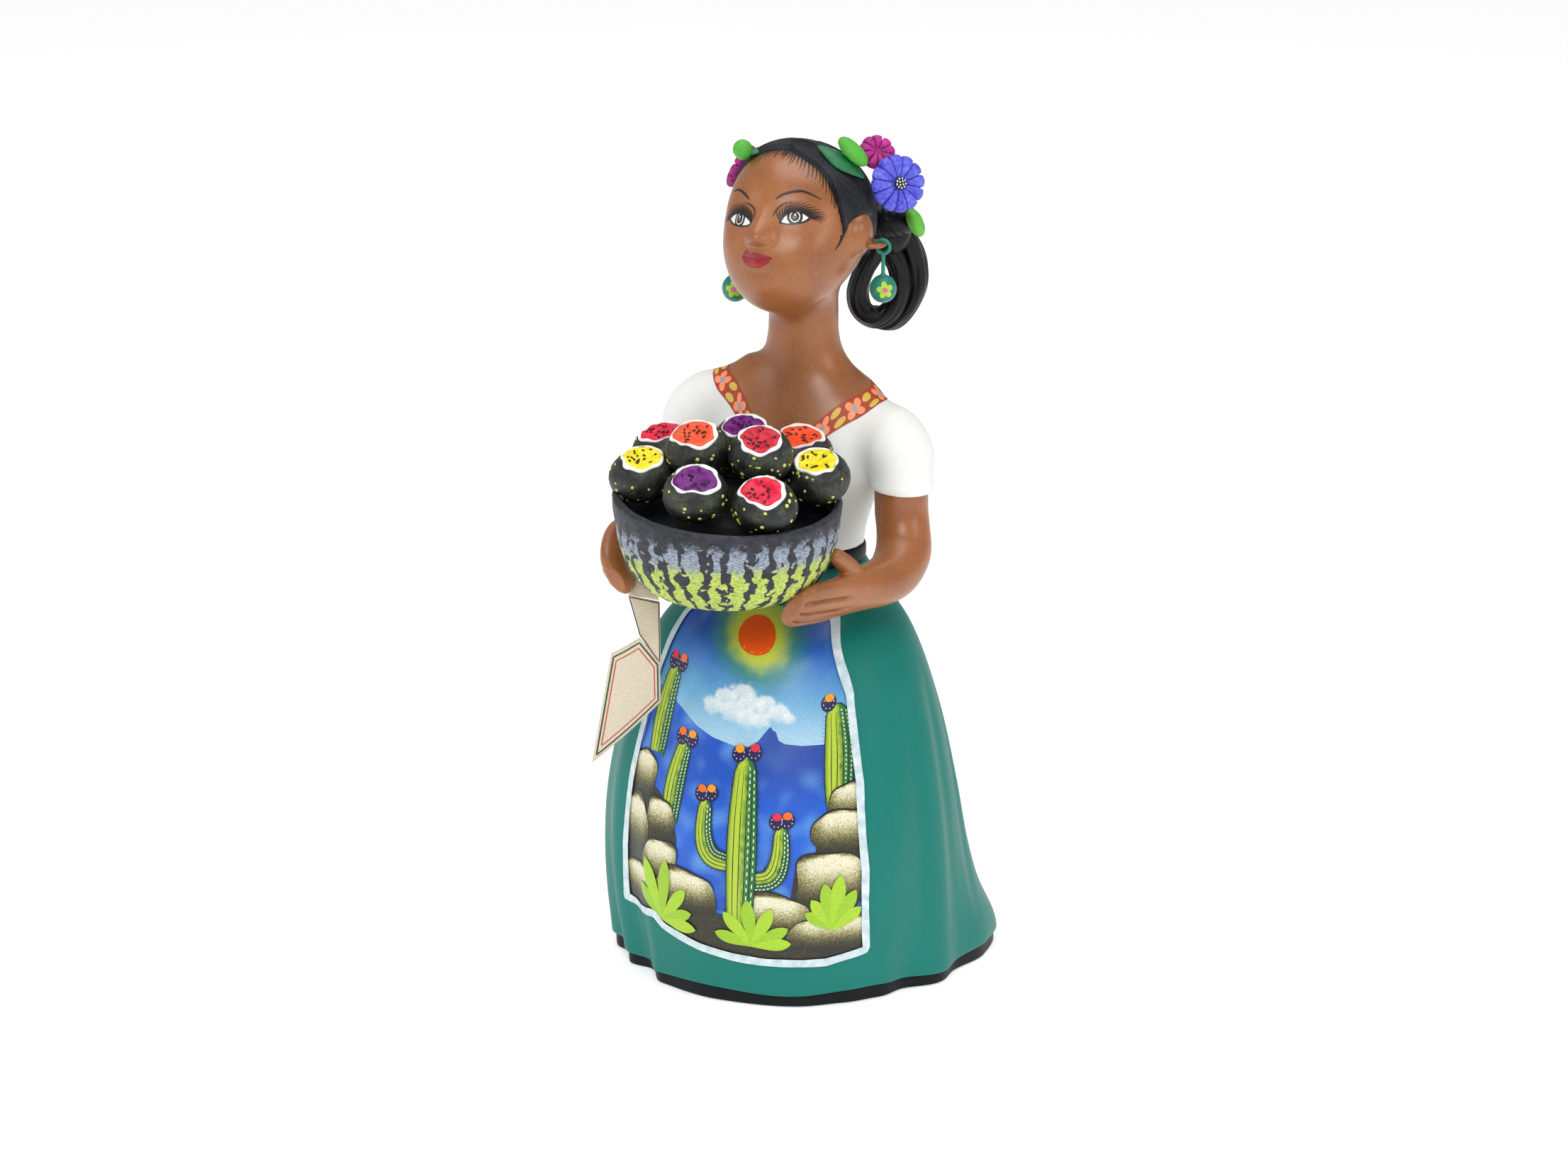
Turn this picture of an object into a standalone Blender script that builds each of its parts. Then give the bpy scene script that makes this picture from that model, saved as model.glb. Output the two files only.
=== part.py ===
"""Hand-painted clay doll: a woman in a full skirt who holds a bowl of cut prickly pears.

Every dimension is in millimetres until a mesh is made. The figure faces -Y and its own
left is +X. OFFSET moves the finished figure so that its box is centred on the origin.
"""

import math

import bmesh
import bpy
import numpy as np
from mathutils import Matrix, Vector

MM = 0.001
OFFSET = (-0.62, 21.47, 0.0)
GAP = 0.3

# Skirt and foot
SKIRT_TOP = 163.7
SKIRT_WALL = 4.6
SKIRT_ROOF = 157.0
HEM_TOP = 5.6
HEM_SET_BACK = 1.6
HEM_WALL = 5.4
WAIST_HOLE = 15.0
WAIST_RADIUS = 25.0
WAIST_DEPTH = 22.0
WAISTBAND_TOP = 169.8
# height: radius on the front half, radius on the back half
SKIRT_RADII = (
    (0, 75.5, 81.5), (8, 76.5, 81.0), (25, 79.5, 71.5), (45, 81.5, 62.5), (74, 80.5, 54.0),
    (110, 72.0, 45.0), (130, 64.5, 38.0), (143, 56.0, 32.5), (152, 44.0, 29.0),
    (159, 33.0, 26.5), (164, 25.5, 24.5),
)
# angle from the front, towards the figure's left, in degrees: how far the hem stands out
SKIRT_FOLDS = (
    (-180, 2.0), (-162, -2.0), (-145, 2.0), (-128, -2.0), (-110, 2.5), (-92, -2.0), (-80, 1.0),
    (-70, -3.5), (-60, -1.0), (-51, -5.0), (-43, -1.0), (-34, -5.5), (-22, 1.0), (0, 3.5),
    (24, 5.0), (38, 3.0), (50, 1.5), (60, -2.0), (72, 2.0), (84, -2.0), (100, 1.5), (114, 2.5),
    (130, -2.0), (146, 2.0), (163, -2.0), (180, 2.0),
)
FOLD_TOP = 125.0
FRONT_SET = 7.0

# Torso: height, half width, half depth, how far the middle is moved back
TORSO_SECTIONS = (
    (170.1, 25.2, 21.0, 0.0), (178, 26.5, 21.5, 0.0), (190, 30.5, 23.0, -0.5),
    (202, 35.0, 24.0, -1.0), (214, 38.5, 23.5, 0.0), (224, 39.0, 21.5, 1.0), (232, 34.0, 19.0, 1.5),
    (238, 27.0, 16.8, 1.5), (243, 20.5, 15.2, 1.0), (249, 16.2, 14.4, 0.5), (256, 14.4, 13.8, 0.0),
    (264, 14.0, 14.0, 0.0), (282, 14.6, 14.6, 0.0),
)
TORSO_BORE_TOP = 222.0

# Head
HEAD_CENTRE = (-2.0, 1.0, 303.0)
HEAD_TURN = (-4.0, -14.0, -5.0)
HEAD_HALF = (28.6, 30.5, 35.0)
# longitude from the front, latitude, height of the bump, spread in degrees
HEAD_BUMPS = (
    (0, -12, 3.4, 6.5), (0, -3, 1.0, 7), (34, -42, 5.0, 24), (-34, -42, 5.0, 24), (0, -58, 4.0, 20),
    (0, -36, 1.5, 20), (24, 1, -1.3, 12), (-24, 1, -1.3, 12), (0, -25, 1.2, 8), (0, 38, 1.0, 26),
    (180, -45, -4.0, 34), (180, 30, 1.5, 40), (0, 88, -5.0, 24),
)
HEAD_BORE = 8.0
HAIR_THICK = 1.8
HAIR_GAP = 0.75
# longitude from the front: latitude of the hairline
HAIRLINE = (
    (0, 60), (12, 53), (25, 47), (40, 40), (52, 31), (62, 20), (70, 6), (75, -7), (79, -12),
    (84, 2), (92, 14), (103, 10), (114, -14), (130, -30), (150, -38), (180, -42),
)

# Sleeves and arms: x is given for the left side and mirrored for the right
SLEEVE_PATH = (
    (33, 0, 226), (39.5, -2.5, 221.5), (44, -5.5, 212), (46.2, -8, 202), (46.8, -9, 197.5),
    (46.8, -9, 194), (46.7, -9, 190.6),
)
SLEEVE_RADII = (12.0, 14.2, 14.3, 13.0, 12.4, 13.2, 12.0)
# point, half width, half thickness
LEFT_ARM = (
    ((46.8, -9.2, 190.2), 10.8, 10.8), ((48.4, -10.8, 182.5), 10.8, 10.8),
    ((50.2, -15.0, 174.5), 11.2, 11.2), ((50.4, -24.0, 169.0), 10.9, 10.6),
    ((48.6, -34.0, 167.2), 10.2, 9.6), ((45.2, -44.0, 167.0), 9.6, 8.4),
    ((41.6, -54.0, 166.8), 10.4, 7.0), ((38.4, -64.0, 166.6), 10.6, 5.8),
    ((34.6, -74.0, 166.4), 9.8, 5.0), ((31.6, -82.0, 166.2), 8.4, 4.4), ((29.6, -87.0, 166.0), 5.0, 2.6),
)
LEFT_HAND_OUT = (0.80, 0.0, -0.60)
LEFT_THUMB = ((44.5, -48.0, 172.0), (43.0, -56.0, 179.5), (41.6, -62.0, 184.5))
RIGHT_ARM = (
    ((-46.8, -9.2, 190.2), 10.8, 10.8), ((-49.4, -11.5, 183.5), 10.8, 10.8),
    ((-52.0, -17.0, 178.5), 11.2, 11.2), ((-53.6, -27.0, 175.5), 10.9, 10.6),
    ((-53.8, -37.0, 175.5), 10.4, 9.6), ((-52.4, -47.0, 176.0), 10.4, 8.0),
    ((-50.8, -57.0, 176.4), 12.0, 6.6), ((-49.2, -66.0, 176.0), 12.6, 5.6),
    ((-47.0, -75.0, 174.4), 12.0, 5.0), ((-44.2, -83.0, 172.6), 10.0, 4.4), ((-42.2, -87.6, 171.6), 6.0, 2.6),
)
RIGHT_HAND_OUT = (-0.92, 0.0, -0.38)
RIGHT_THUMB = ((-51.5, -50.0, 182.0), (-49.5, -58.0, 189.0), (-47.5, -64.0, 193.0))
THUMB_RADII = (4.6, 4.0, 3.2)

# Bowl and fruit
BOWL_CENTRE = (0.0, -74.0)
BOWL_OUTER = ((0, 167), (20, 167), (28, 169.2), (35, 174), (40, 181), (43, 190), (44.6, 199.5), (45.2, 207))
BOWL_RIM = ((44.2, 208.2), (42.8, 208.0), (42.0, 206.5))
BOWL_INNER = ((41.2, 198.5), (39.6, 190), (36.8, 182.8), (32, 177), (25, 172.6), (0, 171))
FILL_TOP = ((41.0, 201.6), (21, 202.0), (12, 205.6), (0, 206.6))
FRUIT_WIDE = 27.0
FRUIT_TALL = 21.4
# centre, lean of the cut face to the side and to the front in degrees
FRUITS = (
    ((-2.1, -102.3, 214.0), 2, 14), ((24.2, -93.9, 216.0), 8, 12), ((-32.2, -88.2, 217.2), -6, 10),
    ((30.9, -54.8, 217.7), 8, 10), ((-36.4, -56.3, 218.8), -14, 8), ((11.8, -35.6, 218.8), 10, 4),
    ((-9.5, -52.5, 222.0), 0, 6), ((-11.0, -80.6, 229.6), -4, 10), ((14.4, -73.1, 227.0), 4, 10),
)

# Ear loops and earrings (left side, mirrored through the head for the right)
LOOP_REACH = 8.2
LOOP_HALF = 4.2
LOOP_WIRE = 1.0
LEFT_LOOP_END = (34.9, -0.9, 295.7)
RIGHT_LOOP_END = (-33.4, 7.6, 287.0)
RING_RADIUS = 2.75
RING_WIRE = 0.75
DROP_WIRE = 0.8
DROP_LENGTH = 8.4
BALL = (5.4, 5.7)

# Hair strands behind the left of the neck
STRAND_RADIUS = 4.1
STRAND_FRONT = (
    (20.5, 36.0, 291), (27.0, 41.5, 282), (29.8, 45.5, 270), (28.0, 45.8, 259), (21.0, 43.2, 251.6),
    (12.5, 39.4, 251.0), (7.0, 37.0, 257), (7.2, 36.2, 268), (11.5, 36.6, 279),
)
STRAND_BACK = (
    (16.0, 47.2, 294), (27.0, 53.3, 287), (32.0, 56.6, 275), (30.0, 56.6, 263), (23.0, 54.4, 257),
    (15.5, 51.4, 259), (12.5, 49.0, 268), (12.0, 47.4, 281),
)
GATHER = ((20.0, 34.5, 297.5), (14.5, 10.0, 8.2))

# Flowers, buds and leaves on the hair: centre, facing, radius
BLUE_FLOWER = ((36.6, 9.6, 318.5), (0.72, -0.64, 0.26), 11.6)
MAGENTA_FLOWER = ((25.6, 14.4, 328.4), (0.60, -0.56, 0.57), 7.6)
RIGHT_FLOWER = ((-33.5, 14.0, 318.0), (-0.88, -0.10, 0.46), 9.6)
BLUE_PETALS = 12
MAGENTA_PETALS = 10
RIGHT_PETALS = 11
# centre, long axis, half length, half width, half thickness
LEAVES = {
    "leaf_dark_left": ((13.4, 4.8, 330.6), (0.86, 0.30, -0.42), 11.0, 4.8, 1.7),
    "bud_bright_left": ((19.6, 1.8, 332.0), (0.72, 0.10, -0.55), 7.6, 4.0, 3.4),
    "leaf_lime_left": ((35.4, 28.4, 297.6), (0.20, 0.45, -0.85), 6.4, 4.8, 3.2),
    "bud_right": ((-24.5, -5.0, 330.0), (-0.55, 0.0, 0.83), 4.2, 3.9, 3.9),
    "leaf_dark_right": ((-22.4, 4.6, 330.5), (0.50, 0.75, 0.20), 8.0, 4.0, 1.6),
}

# Tag: four corners of each leaf, then its thickness
TAG_UPPER = ((-43.0, -73.9, 161.2), (-29.0, -76.0, 161.2), (-26.4, -78.4, 136.0), (-34.4, -82.6, 148.6))
TAG_LOWER = ((-34.9, -82.9, 147.9), (-26.9, -78.7, 135.3), (-30.0, -72.5, 118.2), (-53.3, -87.2, 93.5), (-42.7, -91.2, 141.8))
TAG_THICK = 0.7

SKIRT_STEPS = 60
BOWL_STEPS = 36
FRUIT_STEPS = 14
COLOURS = {
    "teal": (0.012, 0.22, 0.17), "black": (0.006, 0.007, 0.009), "white": (0.82, 0.82, 0.78),
    "skin": (0.38, 0.14, 0.05), "hair": (0.012, 0.013, 0.018), "bowl": (0.03, 0.035, 0.04),
    "fruit": (0.025, 0.03, 0.018), "blue": (0.07, 0.07, 0.6), "magenta": (0.42, 0.01, 0.22),
    "leaf": (0.01, 0.15, 0.05), "bright": (0.07, 0.38, 0.03), "jade": (0.01, 0.2, 0.14),
    "paper": (0.62, 0.52, 0.4),
}

ROUGHNESS = {
    "teal": 0.38, "black": 0.5, "white": 0.55, "skin": 0.35, "hair": 0.4, "bowl": 0.6, "fruit": 0.5, "blue": 0.5,
    "magenta": 0.5, "leaf": 0.5, "bright": 0.5, "jade": 0.4, "paper": 0.85,
}

collection = None
cutters = None


def clear_scene():
    """Empties the file and makes the two collections."""
    global collection, cutters
    for obj in list(bpy.data.objects):
        bpy.data.objects.remove(obj, do_unlink=True)
    collection = bpy.data.collections.new("clay_doll_with_fruit_bowl")
    cutters = bpy.data.collections.new("cutters")
    bpy.context.scene.collection.children.link(collection)
    bpy.context.scene.collection.children.link(cutters)


def eased(table, at):
    """Value of a (position, value) table with a cosine ease between rows, for a wave or a rounded outline."""
    table = np.asarray(table, float)
    at = np.asarray(at, float)
    index = np.clip(np.searchsorted(table[:, 0], at, side="right") - 1, 0, len(table) - 2)
    low, high = table[index], table[index + 1]
    share = np.clip((at - low[..., 0]) / (high[..., 0] - low[..., 0]), 0, 1)
    share = 0.5 - 0.5 * np.cos(np.pi * share)
    return low[..., 1] * (1 - share) + high[..., 1] * share


def smooth_points(points, count):
    """A Catmull-Rom curve through the points, sampled evenly by index."""
    points = np.asarray(points, float)
    padded = np.vstack([2 * points[0] - points[1], points, 2 * points[-1] - points[-2]])
    out = []
    for value in np.linspace(0, len(points) - 1, count):
        index = min(int(value), len(points) - 2)
        t = value - index
        a, b, c, d = padded[index:index + 4]
        out.append(0.5 * (2 * b + (c - a) * t + (2 * a - 5 * b + 4 * c - d) * t**2
                          + (3 * b - a - 3 * c + d) * t**3))
    return np.array(out)


def dress(obj, colour, helper=False):
    """Files an object with the parts or the cutters, and gives a part its own paint."""
    (cutters if helper else collection).objects.link(obj)
    if helper:
        obj.hide_render = True
        obj.display_type = "WIRE"
        return obj
    material = bpy.data.materials.new(obj.name)
    material.use_nodes = True
    paint = material.node_tree.nodes["Principled BSDF"].inputs
    paint["Base Color"].default_value = (*COLOURS[colour], 1)
    paint["Roughness"].default_value = ROUGHNESS[colour]
    obj.data.materials.append(material)
    obj.data.shade_smooth()
    obj.data.set_sharp_from_angle(angle=math.radians(40))
    return obj


def mesh_from(name, shape):
    """Turns a bmesh into an object whose faces point outward."""
    bmesh.ops.remove_doubles(shape, verts=shape.verts, dist=1e-7)
    bmesh.ops.recalc_face_normals(shape, faces=shape.faces)
    if shape.calc_volume(signed=True) < 0:
        bmesh.ops.reverse_faces(shape, faces=shape.faces)
    mesh = bpy.data.meshes.new(name)
    shape.to_mesh(mesh)
    shape.free()
    return bpy.data.objects.new(name, mesh)


def place(point):
    """A millimetre point of the figure as a point of the scene."""
    return Vector(np.asarray(point, float) + np.array(OFFSET)) * MM


def loft(name, verts, faces, colour, helper=False):
    """A skin over unlike sections, from millimetre points."""
    shape = bmesh.new()
    points = [shape.verts.new(place(point)) for point in verts]
    for face in faces:
        shape.faces.new([points[k] for k in face])
    return dress(mesh_from(name, shape), colour, helper)


def rings_mesh(rings, cap_start=True, cap_end=True, wrap=False):
    """Points and faces of the skin over a list of equal rings."""
    count = len(rings[0])
    verts = np.vstack(rings)
    faces = []
    pairs = len(rings) if wrap else len(rings) - 1
    for i in range(pairs):
        j = (i + 1) % len(rings)
        for k in range(count):
            m = (k + 1) % count
            faces.append((i * count + k, i * count + m, j * count + m, j * count + k))
    if cap_start and not wrap:
        faces.append(tuple(range(count)))
    if cap_end and not wrap:
        faces.append(tuple(range((len(rings) - 1) * count, len(rings) * count)))
    return verts, faces


def cut(target, tool, operation="DIFFERENCE"):
    """Adds an exact Boolean with a helper object."""
    modifier = target.modifiers.new(operation.title() + "_" + tool.name, "BOOLEAN")
    modifier.operation = operation
    modifier.solver = "EXACT"
    modifier.object = tool


def tube_rings(path, widths, thicks, sides, out=(0, 0, 1)):
    """Rings along a path: width runs across `out`, thickness along it."""
    path = np.asarray(path, float)
    rings = []
    angles = np.linspace(0, 2 * np.pi, sides, endpoint=False)
    ahead = np.gradient(path, axis=0)
    for point, along, wide, thick in zip(path, ahead, widths, thicks):
        along = along / np.linalg.norm(along)
        outward = np.asarray(out, float) - np.dot(out, along) * along
        outward = outward / np.linalg.norm(outward)
        side = np.cross(along, outward)
        rings.append(point + wide * np.outer(np.cos(angles), side) + thick * np.outer(np.sin(angles), outward))
    return rings


def ball(name, centre, halves, axes, colour, segments=14, levels=8, helper=False):
    """A sphere stretched to half sizes that run along the rows of axes."""
    shape = bmesh.new()
    bmesh.ops.create_uvsphere(shape, u_segments=segments, v_segments=levels, radius=MM)
    turn = Matrix(np.asarray(axes, float).T.tolist()) @ Matrix.Diagonal(Vector(halves))
    bmesh.ops.transform(shape, matrix=Matrix.Translation(place(centre)) @ turn.to_4x4(), verts=shape.verts)
    return dress(mesh_from(name, shape), colour, helper)


def turned(name, profile, centre, segments, colour, helper=False):
    """A profile of (radius, height) that a Screw modifier turns round an upright axis."""
    mesh = bpy.data.meshes.new(name)
    mesh.from_pydata([(radius * MM, 0.0, height * MM) for radius, height in profile],
                     [(k, k + 1) for k in range(len(profile) - 1)], [])
    obj = dress(bpy.data.objects.new(name, mesh), colour, helper)
    obj.location = place((*centre, 0.0))
    screw = obj.modifiers.new("Turn", "SCREW")
    screw.steps = screw.render_steps = segments
    screw.use_merge_vertices = True
    screw.merge_threshold = 1e-6
    screw.use_normal_calculate = True
    return obj


def wire(name, path, radii, colour, sides=8, helper=False):
    """A bevelled curve with filled caps, turned into a closed mesh."""
    curve = bpy.data.curves.new(name, "CURVE")
    curve.dimensions = "3D"
    curve.bevel_depth = MM
    curve.bevel_resolution = sides // 2 - 2
    curve.use_fill_caps = True
    spline = curve.splines.new("POLY")
    spline.points.add(len(path) - 1)
    for point, target, radius in zip(spline.points, path, np.broadcast_to(radii, len(path))):
        point.co = (*place(target), 1.0)
        point.radius = radius
    guide = bpy.data.objects.new(name + "_guide", curve)
    cutters.objects.link(guide)
    graph = bpy.context.evaluated_depsgraph_get()
    shape = bmesh.new()
    shape.from_mesh(bpy.data.meshes.new_from_object(guide.evaluated_get(graph)))
    bpy.data.objects.remove(guide, do_unlink=True)
    return dress(mesh_from(name, shape), colour, helper)


def domed(path, radii):
    """A path and its radii, with a point added past each end where the tube is drawn in."""
    path, radii = np.asarray(path, float), np.broadcast_to(radii, len(path)).astype(float)
    start = path[0] + (path[0] - path[1]) / np.linalg.norm(path[1] - path[0]) * radii[0] * 0.75
    end = path[-1] + (path[-1] - path[-2]) / np.linalg.norm(path[-1] - path[-2]) * radii[-1] * 0.75
    return np.vstack([start, path, end]), np.concatenate([[radii[0] * 0.42], radii, [radii[-1] * 0.42]])


def rod(name, start, end, radius, colour, segments=20, helper=False):
    """A cylinder between two points."""
    start, end = place(start), place(end)
    shape = bmesh.new()
    bmesh.ops.create_cone(shape, cap_ends=True, segments=segments, radius1=radius * MM, radius2=radius * MM,
                          depth=(end - start).length)
    turn = Vector((0, 0, 1)).rotation_difference(end - start).to_matrix().to_4x4()
    bmesh.ops.transform(shape, matrix=Matrix.Translation((start + end) / 2) @ turn, verts=shape.verts)
    return dress(mesh_from(name, shape), colour, helper)


def torus(name, centre, radius, thick, colour):
    """A ring that stands up facing the front."""
    bpy.ops.mesh.primitive_torus_add(major_segments=20, minor_segments=8, major_radius=radius * MM,
                                     minor_radius=thick * MM, location=place(centre), rotation=(math.pi / 2, 0, 0))
    obj = bpy.context.object
    obj.name = obj.data.name = name
    for owner in list(obj.users_collection):
        owner.objects.unlink(obj)
    return dress(obj, colour)


def plate(name, corners, thick, colour, helper=False):
    """A flat leaf through the corners, thickened both ways by a Solidify modifier."""
    corners = np.asarray(corners, float)
    normal = np.zeros(3)
    for a, b in zip(corners, np.roll(corners, -1, axis=0)):
        normal += np.cross(a, b)
    normal /= np.linalg.norm(normal)
    flat = corners - np.outer((corners - corners.mean(0)) @ normal, normal)
    mesh = bpy.data.meshes.new(name)
    mesh.from_pydata([place(point) for point in flat], [], [tuple(range(len(flat)))])
    obj = dress(bpy.data.objects.new(name, mesh), colour, helper)
    solidify = obj.modifiers.new("Thickness", "SOLIDIFY")
    solidify.thickness = thick * MM
    solidify.offset = 0
    return obj


def unit_axes(forward, hint=(0, 0, 1)):
    """Three rows: across, up, forward."""
    forward = np.asarray(forward, float) / np.linalg.norm(forward)
    across = np.cross(hint, forward)
    across = across / np.linalg.norm(across)
    return np.array([across, np.cross(forward, across), forward])


def skirt_radius(angle, height):
    """Radius of the skirt at an angle in degrees from the front and a height."""
    angle = (np.asarray(angle, float) + 180) % 360 - 180
    share = np.clip((150 - np.abs(angle)) / 110, 0, 1)
    share = share * share * (3 - 2 * share)
    heights = np.array([row[0] for row in SKIRT_RADII], float)
    front = np.interp(height, heights, [row[1] for row in SKIRT_RADII])
    back = np.interp(height, heights, [row[2] for row in SKIRT_RADII])
    fade = np.clip(1 - np.asarray(height, float) / FOLD_TOP, 0, 1) ** 1.3
    return front * share + back * (1 - share) + eased(SKIRT_FOLDS, angle) * fade


def skirt_ring(height, inset, steps=SKIRT_STEPS):
    """One ring of the skirt; height may be one number or one for each step."""
    angles = np.linspace(-180, 180, steps, endpoint=False)
    heights = np.broadcast_to(np.asarray(height, float), angles.shape)
    radius = skirt_radius(angles, heights) - inset
    back = FRONT_SET * (1 - heights / SKIRT_TOP)
    turn = np.radians(angles)
    return np.stack([radius * np.sin(turn), -radius * np.cos(turn) - back, heights], 1)


def hem_wave(steps=SKIRT_STEPS):
    """Height of the skirt's lower edge round the figure."""
    turn = np.radians(np.linspace(-180, 180, steps, endpoint=False))
    return HEM_TOP + 0.7 * np.cos(7 * turn + 0.6)


def round_ring(radius, height, steps=SKIRT_STEPS):
    turn = np.linspace(-np.pi, np.pi, steps, endpoint=False)
    return np.stack([radius * np.sin(turn), -radius * np.cos(turn), np.full(steps, float(height))], 1)


def make_skirt():
    """The hollow skirt, the black foot ring under it and the waistband on it."""
    edge = hem_wave()
    outer = [skirt_ring(edge, 0.5), skirt_ring(edge + 0.9, 0.0)]
    for height in (14, 24, 36, 50, 66, 82, 98, 112, 124, 134, 143, 150, 156, 160.5):
        outer.append(skirt_ring(height, 0.0))
    outer += [round_ring(WAIST_RADIUS - 0.4, SKIRT_TOP)]
    hole = [round_ring(WAIST_HOLE, SKIRT_TOP), round_ring(WAIST_HOLE, SKIRT_ROOF)]
    inner = [round_ring(WAIST_HOLE + 4.0, SKIRT_ROOF - 1.0)]
    for height in (150, 138, 122, 98, 66, 36, 16):
        inner.append(skirt_ring(height, SKIRT_WALL + (3.0 if height > 136 else 0.0)))
    inner.append(skirt_ring(edge, HEM_WALL + HEM_SET_BACK - 0.6))
    loft("skirt_shell", *rings_mesh(outer + hole + inner, wrap=True), "teal")
    top = edge - GAP
    foot = [skirt_ring(top, HEM_SET_BACK), skirt_ring(top * 0.5, HEM_SET_BACK - 0.5),
            skirt_ring(0.9, HEM_SET_BACK - 0.2), skirt_ring(0.0, HEM_SET_BACK + 0.8),
            skirt_ring(0.0, HEM_SET_BACK + HEM_WALL - 0.6), skirt_ring(top, HEM_SET_BACK + HEM_WALL - 0.6)]
    loft("hem_ring", *rings_mesh(foot, wrap=True), "black")
    low, high = SKIRT_TOP + GAP, WAISTBAND_TOP
    steps = 40
    turn = np.linspace(-np.pi, np.pi, steps, endpoint=False)

    def oval(extra, height):
        return np.stack([(WAIST_RADIUS + extra) * np.sin(turn), -(WAIST_DEPTH + extra) * np.cos(turn),
                         np.full(steps, height)], 1)

    band = [oval(0.3, low), oval(0.9, low + 1.2), oval(0.9, high - 1.2), oval(0.5, high),
            round_ring(WAIST_HOLE, high, steps), round_ring(WAIST_HOLE, low, steps)]
    loft("waistband", *rings_mesh(band, wrap=True), "black")


def torso_mesh(extra=0.0, steps=32):
    """The blouse, shoulders and neck as one skin."""
    sections = smooth_points(TORSO_SECTIONS, 24)
    turn = np.linspace(0, 2 * np.pi, steps, endpoint=False)
    rings = []
    for height, wide, deep, back in sections:
        rings.append(np.stack([(wide + extra) * np.cos(turn), back + (deep + extra) * np.sin(turn),
                               np.full(steps, height)], 1))
    rings[0][:, 2] -= extra
    return rings_mesh(rings)


def sleeve_mesh(side, extra=0.0):
    path = smooth_points(SLEEVE_PATH, 13) * np.array([side, 1, 1])
    radii = smooth_points([(r, 0) for r in SLEEVE_RADII], 13)[:, 0] + extra
    path[-1, 2] -= extra
    return rings_mesh(tube_rings(path, radii, radii, 20, (0, 1, 0)))


def head_matrix():
    turn, nod, lean = (math.radians(value) for value in HEAD_TURN)
    return Matrix.Rotation(turn, 3, "Z") @ Matrix.Rotation(nod, 3, "X") @ Matrix.Rotation(lean, 3, "Y")


def head_radius(lon, lat):
    """Distance from the head's centre to its skin, lon from the front and lat up, in degrees."""
    lon, lat = np.radians(lon), np.radians(lat)
    unit = np.stack([np.cos(lat) * np.sin(lon), -np.cos(lat) * np.cos(lon), np.sin(lat)], -1)
    radius = 1 / np.sqrt(((unit / np.array(HEAD_HALF)) ** 2).sum(-1))
    for bump_lon, bump_lat, height, spread in HEAD_BUMPS:
        a, b = math.radians(bump_lon), math.radians(bump_lat)
        middle = np.array([math.cos(b) * math.sin(a), -math.cos(b) * math.cos(a), math.sin(b)])
        apart = np.degrees(np.arccos(np.clip(unit @ middle, -1, 1)))
        radius = radius + height * np.exp(-0.5 * (apart / spread) ** 2)
    return radius


def head_points(lon, lat, extra=0.0):
    """World points on the head, in millimetres."""
    lon, lat = np.broadcast_arrays(np.asarray(lon, float), np.asarray(lat, float))
    radius = head_radius(lon, lat) + extra
    a, b = np.radians(lon), np.radians(lat)
    local = np.stack([np.cos(b) * np.sin(a), -np.cos(b) * np.cos(a), np.sin(b)], -1) * radius[..., None]
    return local @ np.array(head_matrix()).T + np.array(HEAD_CENTRE)


def head_mesh(extra=0.0, segments=32, levels=18):
    lons = np.linspace(-180, 180, segments, endpoint=False)
    rings = [head_points(lons, lat, extra) for lat in np.linspace(-90, 90, levels + 1)[1:-1]]
    verts, faces = rings_mesh(rings, False, False)
    count = len(verts)
    poles = [head_points(0, -90, extra), head_points(0, 90, extra)]
    for k in range(segments):
        m = (k + 1) % segments
        faces.append((count, m, k))
        faces.append((count + 1, count - segments + k, count - segments + m))
    return np.vstack([verts, poles]), faces


def hair_mesh():
    """A shell over the back and top of the head, down to the hairline."""
    lons = np.linspace(-180, 180, 40, endpoint=False)
    line = eased(HAIRLINE, np.abs(lons))
    outer, inner = [], []
    for share in np.linspace(0.08, 1, 9):
        lats = 90 - (90 - line) * share
        thick = HAIR_THICK * (1.0 if share < 0.95 else 0.55)
        outer.append(head_points(lons, lats, HAIR_GAP + thick))
        inner.append(head_points(lons, lats, HAIR_GAP))
    verts, faces = rings_mesh(outer + inner[::-1], False, False)
    count, ring = len(verts), len(lons)
    poles = [head_points(0, 90, HAIR_GAP + HAIR_THICK), head_points(0, 90, HAIR_GAP)]
    for k in range(ring):
        m = (k + 1) % ring
        faces.append((count, k, m))
        faces.append((count + 1, count - ring + m, count - ring + k))
    return np.vstack([verts, poles]), faces


def make_torso_and_head():
    torso = loft("torso_shell", *torso_mesh(), "white")
    cut(torso, rod("torso_bore", (0, 0, 160), (0, 0, TORSO_BORE_TOP), WAIST_HOLE, "white", 24, True))
    cut(torso, loft("neck_seat", *head_mesh(GAP), "skin", True))
    head = loft("head_shell", *head_mesh(), "skin")
    top = np.array(HEAD_CENTRE) + np.array(head_matrix()) @ np.array([0, 0, 20.0])
    cut(head, rod("head_bore", (0, 0, 258), top, HEAD_BORE, "skin", 20, True))
    loft("hair_cap", *hair_mesh(), "hair")


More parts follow.
